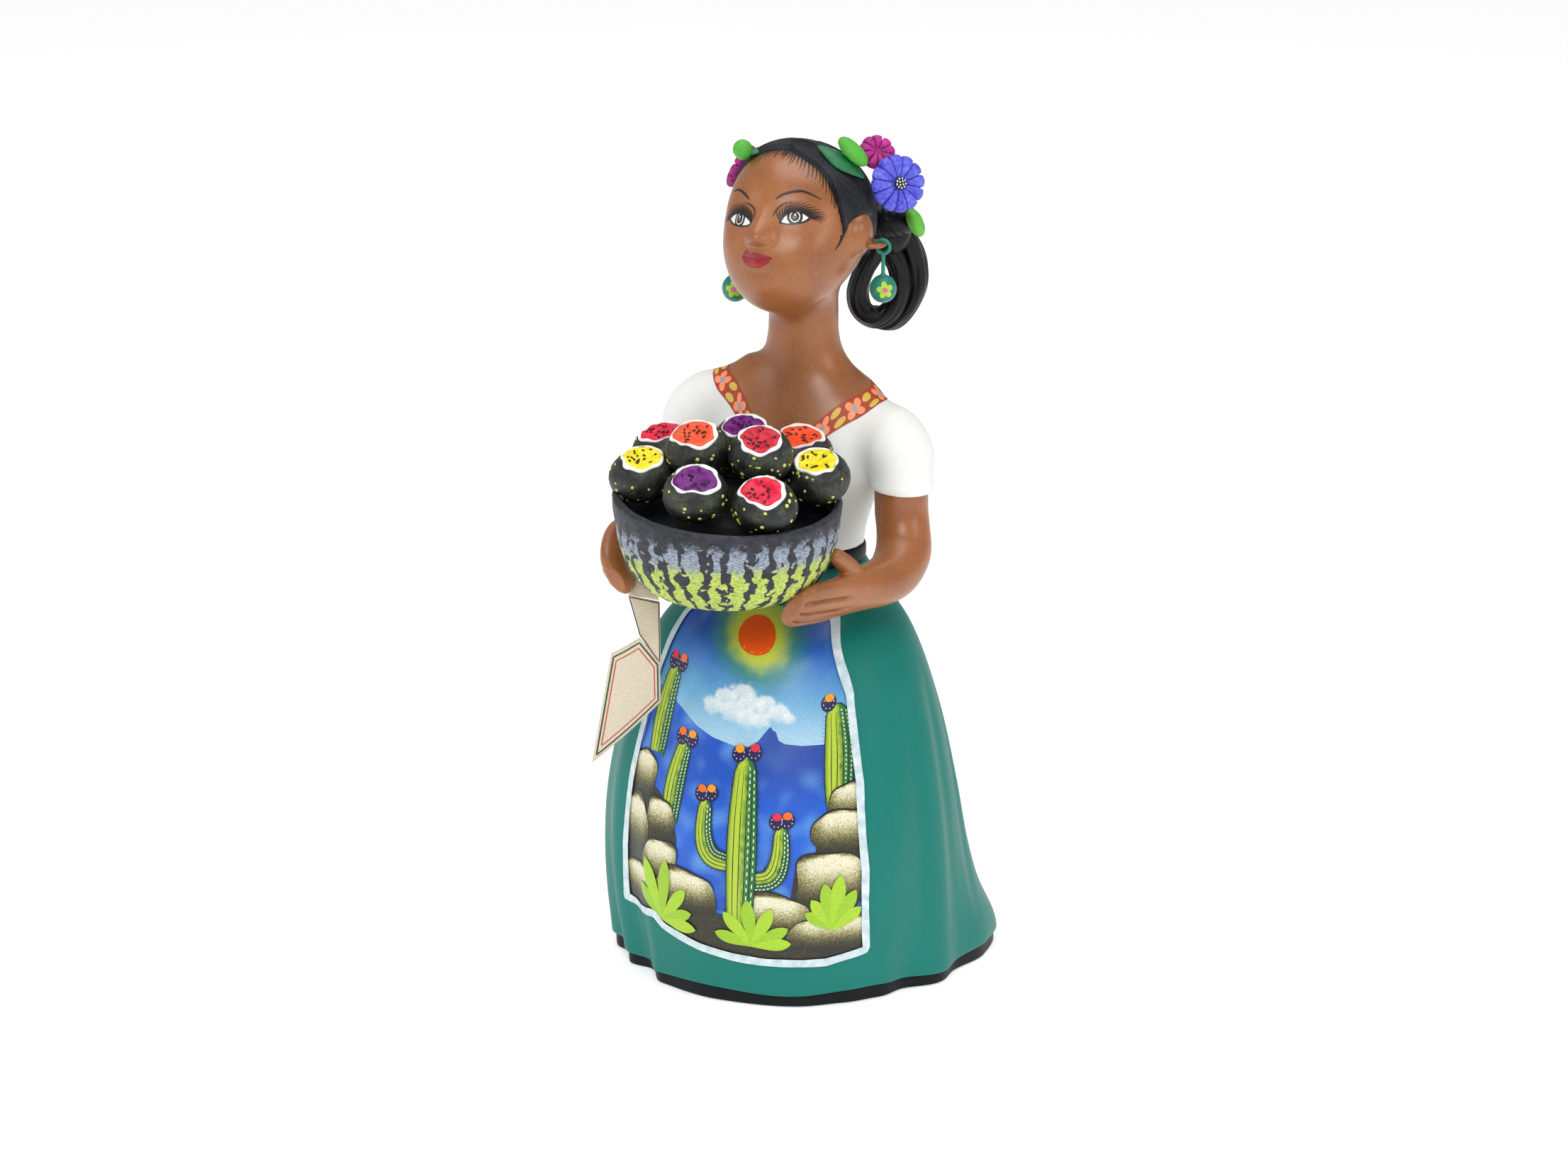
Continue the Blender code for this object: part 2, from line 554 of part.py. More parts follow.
def make_sleeves_and_arms(bowl_tool, tag_tool):
    """Short puffed sleeves, the two arms with their hands, and the grooves between the fingers."""
    torso_tool = loft("torso_clear", *torso_mesh(GAP), "white", True)
    plans = (("left", 1, LEFT_ARM, LEFT_HAND_OUT, LEFT_THUMB),
             ("right", -1, RIGHT_ARM, RIGHT_HAND_OUT, RIGHT_THUMB))
    for name, side, arm, out, thumb in plans:
        sleeve = loft(f"sleeve_{name}", *sleeve_mesh(side), "white")
        cut(sleeve, torso_tool)
        table = smooth_points([(*point, wide, thick) for point, wide, thick in arm], 27)
        rings = tube_rings(table[:, :3], table[:, 3], table[:, 4], 14, out)
        limb = loft(f"arm_{name}", *rings_mesh(rings), "skin")
        thumb_radii = np.interp(np.linspace(0, 2, 5), (0, 1, 2), THUMB_RADII)
        cut(limb, wire(f"thumb_{name}", *domed(smooth_points(thumb, 5), thumb_radii), "skin", 10, True), "UNION")
        cut(limb, bowl_tool)
        cut(limb, loft(f"sleeve_clear_{name}", *sleeve_mesh(side, GAP), "white", True))
        cut(limb, torso_tool)
        if name == "right":
            cut(limb, tag_tool)
        finger_grooves(limb, name, table, out)


def finger_grooves(limb, name, table, out):
    """Three shallow grooves that run to the finger tips on the outer side of the hand."""
    for number, across in enumerate((-0.5, 0.0, 0.5)):
        path = []
        for row in table[17:26]:
            along = table[25, :3] - table[17, :3]
            along = along / np.linalg.norm(along)
            outward = np.asarray(out) - np.dot(out, along) * along
            outward = outward / np.linalg.norm(outward)
            side = np.cross(along, outward)
            depth = row[4] * math.sqrt(1 - across**2)
            path.append(row[:3] + side * row[3] * across + outward * (depth + 0.15))
        cut(limb, wire(f"groove_{name}_{number}", *domed(path[::2], 0.65), "skin", 6, True))


def bowl_profile(extra=0.0):
    """The outline of the bowl as a full solid, for cutting clearances."""
    outer = [(0.0, BOWL_OUTER[0][1] - extra)]
    outer += [(radius + extra, height - extra * 0.6) for radius, height in BOWL_OUTER[1:]]
    return outer + [(BOWL_RIM[0][0] + extra, BOWL_RIM[0][1] + extra), (0.0, BOWL_RIM[0][1] + extra)]


def make_bowl():
    turned("bowl", BOWL_OUTER + BOWL_RIM + BOWL_INNER, BOWL_CENTRE, BOWL_STEPS, "bowl")
    below = [(radius - GAP if radius else 0.0, height + GAP) for radius, height in BOWL_INNER[::-1]]
    turned("bowl_fill", tuple(below) + FILL_TOP, BOWL_CENTRE, BOWL_STEPS, "black")
    return turned("bowl_clear", bowl_profile(GAP), BOWL_CENTRE, BOWL_STEPS, "bowl", True)


def make_fruit(number, centre, lean_side, lean_front):
    """One fruit: a flattened ball whose top is cut to a shallow dish."""
    axes = np.array(Matrix.Rotation(math.radians(lean_side), 3, "Y")
                    @ Matrix.Rotation(math.radians(lean_front), 3, "X")).T
    profile = ((0.0, -1.0), (0.45, -0.9), (0.8, -0.62), (0.97, -0.2), (1.0, 0.12), (0.93, 0.45),
               (0.8, 0.7), (0.64, 0.86), (0.55, 0.88), (0.40, 0.76), (0.0, 0.70))
    rings = []
    turn = np.linspace(0, 2 * np.pi, FRUIT_STEPS, endpoint=False)
    for radius, height in profile:
        radius = max(radius, 0.004) * (1 + 0.03 * np.cos(3 * turn + number))
        local = np.stack([radius * np.cos(turn) * FRUIT_WIDE * 0.478, radius * np.sin(turn) * FRUIT_WIDE * 0.478,
                          np.full(FRUIT_STEPS, height * FRUIT_TALL / 2)], 1)
        rings.append(np.asarray(centre) + local @ axes)
    loft(f"fruit_{number}", *rings_mesh(rings), "fruit")


def make_ears():
    """Ear flaps, the clay wire loops in them, and the swinging earrings with their pivots."""
    head_tool = loft("head_clear", *head_mesh(GAP), "skin", True)
    hair_tool = loft("hair_clear", *head_mesh(HAIR_GAP + HAIR_THICK + 2 * GAP), "hair", True)
    rotation = np.array(head_matrix())
    for name, side, end in (("left", 1, LEFT_LOOP_END), ("right", -1, RIGHT_LOOP_END)):
        middle = np.array(HEAD_CENTRE) + rotation @ np.array([side * 28.6, 3.4, -3.6])
        axes = np.array([rotation @ np.array([side * 0.93, -0.36, 0.0]), rotation @ np.array([side * 0.36, 0.93, 0.0]),
                         rotation @ np.array([0.0, 0.0, 1.0])])
        ear = ball(f"ear_{name}", middle, (2.3, 5.2, 7.2), axes, "skin", 14, 10)
        cut(ear, head_tool)
        loop_end = np.array(end)
        inward = np.array([-side, 0.0, 0.0])
        path = [loop_end + inward * (LOOP_REACH + 4) + np.array([0, -LOOP_HALF, 0.0]),
                loop_end + inward * 3.6 + np.array([0, -LOOP_HALF, 0.0]),
                loop_end + inward * 1.1 + np.array([0, -LOOP_HALF * 0.72, 0.0]), loop_end,
                loop_end + inward * 1.1 + np.array([0, LOOP_HALF * 0.72, 0.0]),
                loop_end + inward * 3.6 + np.array([0, LOOP_HALF, 0.0]),
                loop_end + inward * (LOOP_REACH + 4) + np.array([0, LOOP_HALF, 0.0])]
        loop = wire(f"ear_loop_{name}", smooth_points(path, 15), LOOP_WIRE, "skin")
        cut(loop, head_tool)
        cut(loop, ball(f"ear_clear_{name}", middle, (2.6, 5.5, 7.5), axes, "skin", 14, 10, True))
        make_earring(name, loop_end)
    return hair_tool


def make_earring(name, pivot):
    """A wire ring and drop with a ball; an empty on the loop's wire is their turning axis."""
    centre = pivot + np.array([0, 0, LOOP_WIRE + GAP - RING_RADIUS + RING_WIRE])
    ring = torus(f"earring_{name}_wire", centre, RING_RADIUS, RING_WIRE, "jade")
    top = centre + np.array([0, 0, -RING_RADIUS])
    drop_end = top + np.array([0, 0, -DROP_LENGTH])
    cut(ring, rod(f"drop_{name}", top, drop_end, DROP_WIRE, "jade", 10, True), "UNION")
    ball_centre = drop_end - np.array([0, 0, BALL[1] + GAP])
    bead = ball(f"earring_{name}_ball", ball_centre, (BALL[0], BALL[0], BALL[1]), np.eye(3), "jade", 16, 10)
    hang(f"earring_{name}_pivot", pivot, ring, bead)


def hang(name, pivot, *pieces):
    """Parents pieces to an empty on the point that they turn about."""
    empty = bpy.data.objects.new(name, None)
    empty.location = place(pivot)
    collection.objects.link(empty)
    for piece in pieces:
        piece.parent = empty
        piece.matrix_parent_inverse = Matrix.Translation(-empty.location)


def make_strands(hair_tool):
    """Two looped hair strands and the lump that gathers them behind the head."""
    tools = []
    for name, points, count in (("hair_strand_front", STRAND_FRONT, 26), ("hair_strand_back", STRAND_BACK, 24)):
        path = smooth_points(points, count)
        cut(wire(name, *domed(path, STRAND_RADIUS), "hair", 10), hair_tool)
        tools.append(wire(name + "_clear", *domed(path, STRAND_RADIUS + GAP), "hair", 10, True))
    centre, halves = GATHER
    lump = ball("hair_gather", centre, halves, np.eye(3), "hair", 20, 12)
    for tool in (hair_tool, *tools):
        cut(lump, tool)
    return ball("gather_clear", centre, np.add(halves, GAP), np.eye(3), "hair", 20, 12, True)


def flower_mesh(centre, facing, radius, petals, rise, extra=0.0, stalk=12.0):
    """A scalloped disc, domed on the front, on a tapered stalk that points back into the hair."""
    axes = unit_axes(facing)
    steps = petals * 4
    turn = np.linspace(0, 2 * np.pi, steps, endpoint=False)
    scallop = 1 - 0.1 * np.abs(np.sin(petals * turn / 2)) ** 3
    rings = []
    for share, height in ((0.22, -stalk), (0.34, -3.4), (0.86, -1.5), (1.0, -0.2), (0.9, 1.0), (0.5, rise), (0.24, rise * 0.8)):
        size = radius * share * (scallop if share > 0.4 else 1.0) + extra
        local = np.stack([size * np.cos(turn), size * np.sin(turn), np.full(steps, height)], 1)
        rings.append(np.asarray(centre) + local @ axes)
    return rings_mesh(rings)


def make_flowers(hair_tool, gather_tool):
    blue = loft("flower_blue", *flower_mesh(*BLUE_FLOWER, BLUE_PETALS, 2.0), "blue")
    magenta = loft("flower_magenta", *flower_mesh(*MAGENTA_FLOWER, MAGENTA_PETALS, 2.0, 0.0, 8.0), "magenta")
    other = loft("flower_right", *flower_mesh(*RIGHT_FLOWER, RIGHT_PETALS, 2.0), "magenta")
    for flower in (blue, magenta, other):
        cut(flower, hair_tool)
    blue_tool = loft("blue_clear", *flower_mesh(*BLUE_FLOWER, BLUE_PETALS, 2.0, GAP), "blue", True)
    cut(magenta, blue_tool)
    centre, facing, _ = BLUE_FLOWER
    axes = unit_axes(facing)
    middle = np.asarray(centre) + axes[2] * (2.0 * 0.8 + GAP + 0.9)
    ball("flower_blue_centre", middle, (2.3, 2.3, 0.9), axes, "black", 12, 6)
    magenta_tool = loft("magenta_clear", *flower_mesh(*MAGENTA_FLOWER, MAGENTA_PETALS, 2.0, GAP, 8.0), "magenta", True)
    colours = {"leaf_dark_left": "leaf", "bud_bright_left": "bright", "leaf_lime_left": "bright",
               "bud_right": "bright", "leaf_dark_right": "leaf"}
    made = {}
    for name, (middle, along, length, wide, thick) in LEAVES.items():
        along = np.asarray(along, float) / np.linalg.norm(along)
        up = np.asarray(middle) - np.asarray(HEAD_CENTRE)
        up = up - up @ along * along
        up = up / np.linalg.norm(up)
        axes = np.array([along, np.cross(up, along), up])
        made[name] = (middle, axes, length, wide, thick)
        leaf = ball(name, middle, (length, wide, thick), axes, colours[name], 16, 8)
        cut(leaf, hair_tool)
        if name in ("leaf_dark_left", "bud_bright_left", "leaf_lime_left"):
            cut(leaf, blue_tool)
            cut(leaf, magenta_tool)
        if name == "leaf_lime_left":
            cut(leaf, gather_tool)
    for above, below in (("leaf_dark_left", "bud_bright_left"), ("leaf_dark_right", "bud_right")):
        middle, axes, length, wide, thick = made[below]
        halves = (length + GAP, wide + GAP, thick + GAP)
        cut(bpy.data.objects[above], ball(below + "_clear", middle, halves, axes, "leaf", 16, 8, True))


def make_tag():
    """Two paper leaves. Each one turns about the edge that an empty marks."""
    for name, corners in (("tag_upper", TAG_UPPER), ("tag_lower", TAG_LOWER)):
        leaf = plate(name, corners, TAG_THICK, "paper")
        hang(name + "_pivot", (np.array(corners[0]) + np.array(corners[1])) / 2, leaf)
    return plate("tag_clear", TAG_UPPER, TAG_THICK + 2 * GAP, "paper", True)


def main():
    clear_scene()
    make_skirt()
    make_torso_and_head()
    bowl_tool = make_bowl()
    tag_tool = make_tag()
    make_sleeves_and_arms(bowl_tool, tag_tool)
    for number, (centre, side, front) in enumerate(FRUITS, 1):
        make_fruit(number, centre, side, front)
    hair_tool = make_ears()
    gather_tool = make_strands(hair_tool)
    make_flowers(hair_tool, gather_tool)


main()
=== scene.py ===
"""Looks of a hand-painted clay doll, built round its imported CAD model.

Lengths are in millimetres in the figure's own frame until a mesh is made: the origin is on
the floor under the body, the doll faces -Y and its own left is +X. Angles round the figure
are in degrees from the front, towards its left.
"""

import math

import bmesh
import bpy
import numpy as np
from mathutils import Matrix, Vector, noise
from mathutils.bvhtree import BVHTree
from mathutils.geometry import delaunay_2d_cdt

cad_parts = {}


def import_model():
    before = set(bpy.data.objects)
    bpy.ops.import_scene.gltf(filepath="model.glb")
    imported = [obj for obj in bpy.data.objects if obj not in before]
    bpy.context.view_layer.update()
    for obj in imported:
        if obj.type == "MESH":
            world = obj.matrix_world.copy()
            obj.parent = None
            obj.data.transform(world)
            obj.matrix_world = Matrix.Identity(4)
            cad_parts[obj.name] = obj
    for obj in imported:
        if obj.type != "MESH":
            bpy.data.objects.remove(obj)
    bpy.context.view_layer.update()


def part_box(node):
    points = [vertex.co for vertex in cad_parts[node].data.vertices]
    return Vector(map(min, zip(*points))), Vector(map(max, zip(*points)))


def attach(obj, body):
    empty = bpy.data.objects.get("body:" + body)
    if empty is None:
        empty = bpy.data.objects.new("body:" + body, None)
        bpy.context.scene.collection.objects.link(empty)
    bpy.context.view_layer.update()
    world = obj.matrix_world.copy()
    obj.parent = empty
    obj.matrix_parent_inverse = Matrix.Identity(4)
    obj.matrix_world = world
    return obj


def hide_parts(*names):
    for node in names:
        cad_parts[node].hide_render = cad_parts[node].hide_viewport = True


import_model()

MM = 0.001
BOWL_CENTRE = (0.0, -74.0)
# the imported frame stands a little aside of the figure's own frame, and the bowl shows by how much
bowl_low, bowl_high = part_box("bowl")
OFFSET = np.array([(bowl_low.x + bowl_high.x) / 2 / MM - BOWL_CENTRE[0],
                   (bowl_low.y + bowl_high.y) / 2 / MM - BOWL_CENTRE[1], 0.0])

# Camera
VIEW_AZIMUTH, VIEW_ELEVATION, VIEW_DISTANCE = 24.0, 17.0, 2500.0
VIEW_ASIDE, VIEW_HEIGHT = -7.8, 149.0
LENS, SENSOR = 141.6, 36.0

# Studio: place in metres, size in metres and power of each lamp, and what all of them face
LIGHTS = {
    "key": ((0.5, -1.5, 1.3), 0.7, 13), "fill": ((-1.5, -0.9, 0.8), 1.0, 4.5),
    "side": ((1.6, -0.3, 0.9), 0.7, 5), "above": ((0.0, 0.2, 1.7), 1.4, 14),
}
LIGHTS_FACE = (0, 0, 0.17)
SKY_LIGHT, FLOOR_GLOW, FLOOR_HALF = 0.40, 0.45, 6

# Skirt, with the black hem under it and the waistband on top
SKIRT_TOP, SKIRT_WALL, SKIRT_ROOF = 163.7, 4.6, 157.0
HEM_TOP, HEM_WAVE, HEM_SET_BACK, HEM_WALL = 5.6, 0.7, 1.6, 5.4
WAIST_HOLE, WAIST_RADIUS, WAIST_DEPTH, WAISTBAND_TOP = 15.0, 25.0, 22.0, 169.8
SKIRT_STEPS, SKIRT_ROWS, WAIST_STEPS = 540, 110, 240
# heights of the rings inside the skirt, from the roof down
HOLLOW_HEIGHTS = (150, 138, 122, 98, 66, 36, 16)
# height, radius on the front half, radius on the back half
SKIRT_RADII = (
    (0, 75.5, 81.5), (8, 76.5, 81.0), (25, 79.5, 71.5), (45, 81.5, 62.5), (74, 80.5, 54.0),
    (110, 72.0, 45.0), (130, 64.5, 38.0), (143, 56.0, 32.5), (152, 44.0, 29.0),
    (159, 33.0, 26.5), (164, 25.5, 24.5),
)
# angle from the front, how far the fold stands out at the hem
SKIRT_FOLDS = (
    (-180, 2.0), (-162, -2.0), (-145, 2.0), (-128, -2.0), (-110, 2.5), (-92, -2.0), (-80, 1.0),
    (-70, -3.5), (-60, -1.0), (-51, -5.0), (-43, -1.0), (-34, -5.5), (-22, 1.0), (0, 3.5),
    (24, 5.0), (38, 3.0), (50, 1.5), (60, -2.0), (72, 2.0), (84, -2.0), (100, 1.5), (114, 2.5),
    (130, -2.0), (146, 2.0), (163, -2.0), (180, 2.0),
)
FOLD_TOP, FRONT_SET = 125.0, 7.0
# the shallow pleats beside and behind the apron: how many, depth, angles between which they start
PLEATS, PLEAT_DEPTH, PLEAT_START = 22, 1.5, (54, 72)

# Torso: height, half width, half depth, how far the middle is moved back
TORSO_SECTIONS = (
    (170.1, 25.2, 21.0, 0.0), (178, 26.5, 21.5, 0.0), (190, 30.5, 23.0, -0.5),
    (202, 35.0, 24.0, -1.0), (214, 38.5, 23.5, 0.0), (224, 39.0, 21.5, 1.0), (232, 34.0, 19.0, 1.5),
    (238, 27.0, 16.8, 1.5), (243, 20.5, 15.2, 1.0), (249, 16.2, 14.4, 0.5), (256, 14.4, 13.8, 0.0),
    (264, 14.0, 14.0, 0.0), (282, 14.6, 14.6, 0.0),
)
# angle from the front: height of the middle of the painted neck trim
NECKLINE = (
    (0, 213), (20, 215.5), (32, 219.5), (48, 225.5), (62, 229.5), (80, 232.6), (106, 234.4), (180, 236),
)
# on the doll's right the neckline lies lower: by how much, at which angle, over how many degrees
NECK_DROP = (3.0, -86, 34)
TRIM_HALF, TRIM_REPEAT = 4.4, 15.0

# Head
HEAD_CENTRE = (-2.0, 1.0, 303.0)
HEAD_TURN = (-4.0, -14.0, -5.0)
HEAD_HALF = (28.6, 30.5, 35.0)
# longitude from the front, latitude, height of the bump, spread in degrees
HEAD_BUMPS = (
    (0, -12, 3.4, 6.5), (0, -3, 1.0, 7), (34, -42, 5.0, 24), (-34, -42, 5.0, 24), (0, -58, 4.0, 20),
    (0, -36, 1.5, 20), (24, 1, -1.3, 12), (-24, 1, -1.3, 12), (0, -25, 1.2, 8), (0, 38, 1.0, 26),
    (180, -45, -4.0, 34), (180, 30, 1.5, 40), (60, 72, -5.5, 30), (0, 90, -2.0, 40),
)
# the finer forms of the face: longitude, latitude, height, spread across, spread up
FACE_BUMPS = (
    (0, -13, 3.2, 4.8, 4.6), (5.6, -15.5, 1.3, 2.8, 2.6), (-5.6, -15.5, 1.3, 2.8, 2.6),
    (0, -19.4, -0.9, 4.8, 1.8), (0, -3, 0.9, 3.0, 6.5), (23.5, 0, 0.9, 6.6, 4.4), (-22.5, -3, 0.9, 6.6, 4.4),
    (-2, -23.4, 0.65, 5.8, 1.7), (-2, -29, 0.8, 4.8, 2.2), (-2, -26.4, -0.45, 6.5, 0.9),
    (-2, -34.5, -0.6, 6.0, 2.4), (0, -43, 0.9, 8.0, 6.0), (30, -19, 0.7, 11, 9), (-30, -19, 0.7, 11, 9),
)
# the face is laid out flat from a ball of about this radius
FACE_RADIUS = 30.0
# longitude, latitude, half sizes of each ear; how far it stands out on each side
EAR_LON, EAR_LAT, EAR_WIDE, EAR_TALL = 84, -13, 7.0, 8.6
EAR_OUT = {"left": 4.8, "right": 2.9}
HAIR_THICK, HAIR_ROWS, COMB_DEPTH = 1.8, 90, 0.16
# longitude from the front: latitude of the hairline
HAIRLINE = (
    (-180, -42), (-150, -38), (-130, -30), (-114, -14), (-106, -2), (-98, 6), (-92, 12), (-86, 19), (-80, 25),
    (-70, 39), (-58, 48), (-46, 53), (-34, 57), (-20, 61.5), (-8, 65.2), (-1, 66), (6, 63.8), (17, 58.4),
    (30.6, 51.4), (42.2, 43.4), (49.8, 34.6), (54.8, 24.6), (57.8, 12.8), (60, 2), (61.3, -6), (62.3, -13.5),
    (63.5, -13.5), (66.5, -7.0), (71, -3.1), (81, -0.9), (90, -0.6), (99, -0.9), (105, -6), (114, -14),
    (130, -30), (150, -38),
)

# Sleeves and arms: the path is given for the left sleeve and mirrored for the right one
SLEEVE_PATH = (
    (27, 0, 221.5), (36.5, -2.0, 218.5), (43.4, -5.5, 212.2), (45.8, -7.6, 206.5), (46.6, -8.8, 203),
    (46.8, -9, 200.6), (46.7, -9, 199.0),
)
SLEEVE_RADII = (10.6, 13.6, 14.6, 13.4, 12.7, 13.2, 12.4)
# how much higher the right shoulder stands than the left one
SHOULDER_LIFT = 6.0
# where two parts of the bust meet, how far the fillet reaches, rounds of smoothing
FILLETS = (
    ("head", "torso", 9.0, 90), ("sleeve_left", "torso", 8.0, 90), ("sleeve_right", "torso", 8.0, 90),
    ("ear_left", "head", 2.6, 14), ("ear_right", "head", 2.6, 14),
)
# point, half width, half thickness
LEFT_ARM = (
    (46.6, -8.8, 201.5, 10.8, 10.8), (46.9, -9.2, 190.2, 10.8, 10.8), (48.4, -10.8, 182.5, 10.8, 10.8),
    (50.2, -15.0, 174.5, 11.2, 11.2), (50.4, -24.0, 169.0, 10.9, 10.6),
    (48.6, -34.0, 167.2, 10.2, 9.6), (45.2, -44.0, 167.0, 9.6, 8.4),
    (41.6, -54.0, 166.8, 10.8, 7.0), (38.4, -64.0, 166.6, 11.8, 5.8),
    (35.8, -72.0, 167.2, 11.8, 5.2), (33.6, -79.0, 167.8, 11.2, 4.8), (32.0, -83.2, 168.2, 8.6, 3.6),
)
RIGHT_ARM = (
    (-46.6, -8.8, 201.5, 10.8, 10.8), (-46.9, -9.2, 190.2, 10.8, 10.8), (-49.4, -11.5, 183.5, 10.8, 10.8),
    (-52.0, -17.0, 178.5, 11.2, 11.2), (-53.6, -27.0, 175.5, 10.9, 10.6),
    (-53.8, -37.0, 175.5, 10.4, 9.6), (-52.4, -47.0, 176.0, 10.4, 8.0),
    (-50.8, -57.0, 176.4, 12.0, 6.6), (-49.2, -66.0, 176.0, 12.6, 5.6),
    (-47.0, -75.0, 174.4, 12.0, 5.0), (-44.2, -83.0, 172.6, 10.0, 4.4), (-42.2, -87.6, 171.6, 6.0, 2.6),
)
# the way the back of each hand faces
HAND_OUT = {"left": (0.80, 0.0, -0.60), "right": (-0.92, 0.0, -0.38)}
THUMBS = {"left": ((44.5, -48.0, 172.0), (43.0, -56.0, 179.5), (41.6, -62.0, 184.5)),
          "right": ((-51.5, -50.0, 182.0), (-49.5, -58.0, 189.0), (-47.5, -64.0, 193.0))}
THUMB_RADII = (4.6, 4.0, 3.2)
# rows along a limb; the hand takes up the last third of them
LIMB_ROWS, WRIST_ROW, TIP_ROW = 90, 56, 84
# slits between the fingers: places across the hand in half widths, depth, width
SLITS, SLIT_DEPTH, SLIT_WIDE = (-0.52, 0.0, 0.52), 2.3, 0.75

# Bowl: how far its rim drops per mm towards the viewer and to the right of that, and which way the viewer is
BOWL_TILT, TILT_WAY = (0.095, 0.05), (0.407, 0.914)
BOWL_STEPS, FILL_STEPS, BOWL_RIBS = 420, 240, 30
BOWL_OUTER = ((0, 167), (20, 167), (28, 169.2), (35, 174), (40, 181), (43, 190), (44.6, 199.5), (45.2, 207))
BOWL_RIM = ((44.2, 208.2), (42.8, 208.0), (42.0, 206.5))
BOWL_INNER = ((41.2, 198.5), (39.6, 190), (36.8, 182.8), (32, 177), (25, 172.6), (0, 171))
FILL_TOP = ((41.0, 199.6), (21, 202.0), (12, 205.6), (0, 206.6))

# Fruit
FRUIT_HALF_WIDE, FRUIT_HALF_TALL = 12.9, 10.7
FRUIT_CUT, FRUIT_STEPS, SEED_COUNT, DOT_COUNT = 45, 96, 17, 34
# centre, lean of the cut face to the side and to the front in degrees, pulp colour
FRUITS = (
    ((-1.0, -101.6, 215.4), 2, 14, "purple"), ((25.0, -93.4, 211.6), 8, 12, "pink"),
    ((-31.0, -86.4, 215.6), -6, 10, "yellow"), ((31.6, -57.0, 214.2), 8, 10, "yellow"),
    ((-36.0, -55.4, 217.2), -14, 8, "pink"), ((15.4, -37.6, 217.2), 10, 4, "orange"),
    ((-5.4, -46.4, 221.4), 0, 6, "purple"), ((-10.8, -78.0, 226.2), -4, 10, "orange"),
    ((14.4, -73.6, 225.8), 4, 10, "crimson"),
)

# Ear loops and earrings
LOOP_REACH, LOOP_HALF, LOOP_WIRE = 8.2, 4.2, 1.0
LOOP_ENDS = {"left": (34.9, -0.9, 295.7), "right": (-33.4, 7.6, 287.0)}
RING_RADIUS, RING_WIRE, DROP_WIRE, DROP_LENGTH = 2.75, 0.75, 0.8, 8.4
BALL_WIDE, BALL_TALL = 5.4, 5.7
GAP = 0.3

# Hair strands behind the left of the neck
STRAND_RADIUS = 4.3
STRANDS = {
    "hair_strand_front": (
        (18.0, 34.0, 292), (15.0, 36.5, 283), (10.6, 36.4, 274), (8.0, 36.4, 265), (9.4, 37.4, 257.5),
        (14.6, 39.6, 254.4), (20.2, 42.6, 257.6), (23.0, 44.4, 265.0), (22.6, 43.6, 275.0),
        (20.0, 40.0, 284.0)),
    "hair_strand_back": (
        (22.0, 41.2, 293), (26.4, 46.5, 285), (28.2, 49.2, 276), (27.6, 49.8, 266), (24.0, 48.6, 257.0),
        (18.4, 46.2, 252.2), (12.6, 43.4, 253.4)),
}
# the lump behind the cap and the ball of hair that the strands start from: centre, half sizes
GATHER = ((20.0, 34.5, 297.5), (14.5, 10.0, 8.2))
HAIR_MASS = ((20.5, 40.0, 290.0), (8.6, 8.0, 9.0))

# Flowers: material, slot, centre, facing, radius, petals, length of the stalk
FLOWERS = {
    "flower_blue": ("blue", "blue_paint", (36.6, 9.6, 318.5), (0.72, -0.64, 0.26), 11.6, 12, 12.0),
    "flower_magenta": ("magenta", "magenta_paint", (26.0, 13.2, 329.4), (0.50, -0.60, 0.60), 7.4, 9, 8.0),
    "flower_right": ("magenta", "magenta_paint", (-33.5, 14.0, 318.0), (-0.88, -0.10, 0.46), 9.6, 11, 12.0),
}
# Leaves and buds: material, slot, centre, long axis, half length, half width, half thickness, pointed or not
LEAF, BUD = "leaf_paint", "bright_green_paint"
LEAVES = {
    "leaf_dark_left": ("dark_leaf", LEAF, (16.4, 0.6, 328.0), (0.84, 0.10, -0.52), 11.6, 5.6, 1.9, True),
    "bud_bright_left": ("bright", BUD, (20.6, 1.8, 331.6), (0.66, 0.10, -0.62), 7.6, 3.6, 3.4, False),
    "leaf_lime_left": ("lime", BUD, (36.4, 28.4, 298.4), (0.20, 0.45, -0.85), 6.4, 4.8, 3.2, False),
    "bud_right": ("bright", BUD, (-24.2, -5.0, 329.6), (-0.55, 0.0, 0.83), 4.2, 3.9, 3.9, False),
    "leaf_dark_right": ("dark_leaf", LEAF, (-20.4, -1.0, 328.4), (0.55, 0.70, 0.10), 8.0, 4.0, 1.6, True),
}

# Tag: corners of each leaf, and of the strip between the hand and the hinge
TAG_UPPER = ((-43.0, -73.9, 161.2), (-29.0, -76.0, 161.2), (-26.7, -78.55, 135.6), (-34.7, -82.75, 148.2))
TAG_LOWER = ((-34.7, -82.75, 148.2), (-26.7, -78.55, 135.6), (-30.0, -72.5, 118.2), (-53.3, -87.2, 93.5),
             (-42.7, -91.2, 141.8))
TAG_ROOT = ((-29.0, -76.0, 161.4), (-43.0, -73.9, 161.4), (-45.6, -70.4, 171.0), (-33.0, -72.2, 171.0))
TAG_THICK = 0.7

